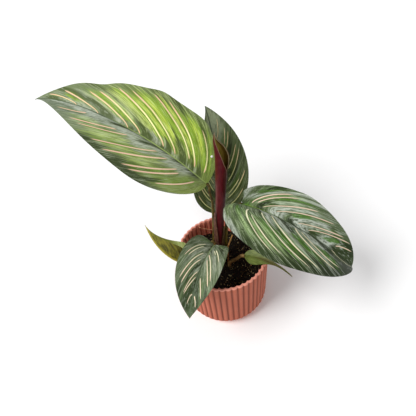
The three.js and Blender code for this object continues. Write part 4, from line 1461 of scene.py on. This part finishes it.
def shoot_ring(z):
    """The sheet at a height: its outer face, then its inner face, with what the materials read."""
    cx, cy, radius, reach = shoot_axis(z)
    outer_edge, inner_edge, flare = at_height(SHOOT_EDGES, z)
    share = np.linspace(0, 1, SHOOT_COLUMNS)
    angle = outer_edge + (inner_edge - outer_edge) * share
    inward = (outer_edge - angle) / 360
    radial = radius + (reach - radius) * np.exp(-inward * 5) - inward * TURN_STEP
    radial = np.maximum(radial + flare * np.clip((share - 0.55) / 0.45, 0, 1) ** 2, 0.35)
    turn = np.radians(angle)
    steps = np.hypot(np.diff(radial), radial[1:] * np.diff(turn))
    along = np.concatenate([[0], np.cumsum(steps)])
    values = np.stack([share, np.cos(turn), np.minimum(along, along[-1] - along)], -1)
    outer, inner = [
        np.stack([cx + r * np.cos(turn), cy + r * np.sin(turn), z + 0 * turn], -1)
        for r in (radial, np.maximum(radial - SHEET, 0.12))
    ]
    return np.concatenate([outer, inner[::-1]]), np.concatenate([values, values[::-1]])


def make_shoot(outside, inside):
    heights = np.linspace(SHOOT_AXIS[0, 0], SHOOT_AXIS[-1, 0], SHOOT_ROWS + 1)
    rings, values = zip(*[shoot_ring(z) for z in heights])
    faces = [face[::-1] for face in strip_loft(rings)]
    sides = len(rings[0])
    kinds = [int(min(i % sides for i in face) >= SHOOT_COLUMNS) for face in faces]
    piece = mesh_object("rolled_leaf", np.concatenate(rings), faces, [outside, inside], kinds, sharp=50)
    keep_values(piece.data, "roll", np.concatenate(values))
    return place_piece(piece, "shoot", "new_shoot")


def roll_coordinates(tree, stretch):
    """The share round the roll, which way the sheet faces, how far its edge is, height and grain."""
    share, facing, rim = parts(tree, attribute(tree, "roll", "Vector"))
    place = object_place(tree)
    grains = use(tree, FIBRES, Place=place, Stretch=stretch, Scale=1.6)
    return SimpleNamespace(
        share=share, facing=facing, rim=rim, height=parts(tree, place)[2],
        fibres=grains["Fibres"], mottle=grains["Mottle"],
    )


def shoot_outside():
    """Maroon, redder where it faces left and painted shade where it faces right; dark foot, pale edges."""
    material, tree, shader = new_material("maroon_shoot", 0.38, 0.1)
    on = roll_coordinates(tree, 0.08)
    color = painted(
        tree, tint(104, 44, 36),
        (on.facing, -1.0, -0.3, 0.0, 1.0, tint(86, 8, 20)),
        # Painted shade: darker where the roll faces right, away from the key light.
        (on.facing, 0.2, 0.9, 0.0, 1.0, tint(62, 20, 20)),
        (on.fibres, 0.35, 0.65, 0.5, 0.0, tint(48, 10, 16)),
        (on.mottle, 0.4, 0.7, 0.0, 0.3, tint(92, 44, 34)),
        (on.height, 56.0, 74.0, 0.75, 0.0, tint(62, 30, 24)),
        (on.rim, 0.15, 0.45, 0.7, 0.0, tint(150, 124, 96)),
    )
    finish_shader(tree, shader, color, on.fibres, 0.12)
    return material


def shoot_inside():
    """Olive, with a pale streak near the end of the roll and pale edges."""
    material, tree, shader = new_material("olive_inside", 0.5, 0.15)
    on = roll_coordinates(tree, 0.1)
    color = painted(
        tree, tint(106, 90, 16),
        (on.fibres, 0.35, 0.65, 0.0, 1.0, tint(160, 138, 38)),
        (on.share, 0.72, 0.97, 0.0, 1.0, tint(84, 58, 16)),
    )
    streak = times(tree, rise(tree, on.share, 0.76, 0.8), rise(tree, on.share, 0.82, 0.87, 0.7, 0.0))
    color = mix(tree, streak, color, tint(142, 116, 52))
    color = painted(tree, color, (on.rim, 0.35, 0.75, 0.8, 0.0, tint(176, 178, 138)))
    finish_shader(tree, shader, color, on.fibres, 0.12)
    return material


SHEATHS = {
    "sheath_left": {
        "middle": 212, "spread": 124, "height": 50,
        "tones": (tint(96, 56, 42), tint(54, 24, 20), tint(160, 122, 96)),
    },
    "sheath_right": {
        "middle": -30, "spread": 116, "height": 37,
        "tones": (tint(92, 78, 36), tint(50, 34, 16), tint(124, 106, 62)),
    },
}
SHEATH_FOOT = (54.0, 76.0, tint(58, 30, 20))
SHEATH_ROWS = 70
SHEATH_COLUMNS = 26
SHEATH_TIP = 0.12             # its width at the tip, as a share of that at the foot


def make_sheath(name, shape):
    """A papery strip round the shoot that narrows upwards, thickest down its middle."""
    across = np.linspace(-0.5, 0.5, SHEATH_COLUMNS)
    rings = []
    for share in np.arange(SHEATH_ROWS + 1) / SHEATH_ROWS:
        z = SOIL_LEVEL - ROOT_DEPTH + (ROOT_DEPTH + shape["height"]) * share
        width = 1 + (SHEATH_TIP - 1) * share * share
        cx, cy, _, reach = shoot_axis(z)
        angle = np.radians(shape["middle"] + shape["spread"] * width * across)
        inner = reach + 0.2 + 0.25 * np.abs(across * 2) ** 3
        outer = inner + 0.55 * (1 - 0.7 * np.abs(across * 2) ** 2.5)
        turn = np.concatenate([angle, angle[::-1]])
        radius = np.concatenate([outer, inner[::-1]])
        rings.append(np.stack([cx + radius * np.cos(turn), cy + radius * np.sin(turn), z + 0 * turn], -1))
    material = stalk_material(f"papery_{name}", *shape["tones"], 0.6, SHEATH_FOOT)
    piece = mesh_object(f"clasping_{name}", np.concatenate(rings), strip_loft(rings), [material], sharp=50)
    return place_piece(piece, "sheath", name)


# ---------- Floor ----------

FLOOR_REACH = 3000


def make_floor():
    material, tree, shader = new_material("white_table", 0.9)
    cloud = grain(tree, object_place(tree), 0.01, 2.0)
    finish_shader(tree, shader, mix(tree, cloud, (0.9, 0.9, 0.9, 1), (0.93, 0.93, 0.93, 1)))
    corners = [(x * FLOOR_REACH, y * FLOOR_REACH, 0) for x, y in ((-1, -1), (1, -1), (1, 1), (-1, 1))]
    floor = mesh_object("table", corners, [(0, 1, 2, 3)], [material])


# ---------- The whole plant ----------

set_camera()
set_light()
make_floor()
make_pot(pot_material())
make_soil(soil_material("potting_mix", tint(12, 8, 5), tint(40, 31, 20)))
make_crumbs()
make_leaves()
make_perlite_grain()
stalk_tree = make_stalk_tree()
make_stalks(stalk_tree)
make_dry_pieces(stalk_tree)
make_shoot(shoot_outside(), shoot_inside())
for sheath_name, sheath_shape in SHEATHS.items():
    make_sheath(sheath_name, sheath_shape)
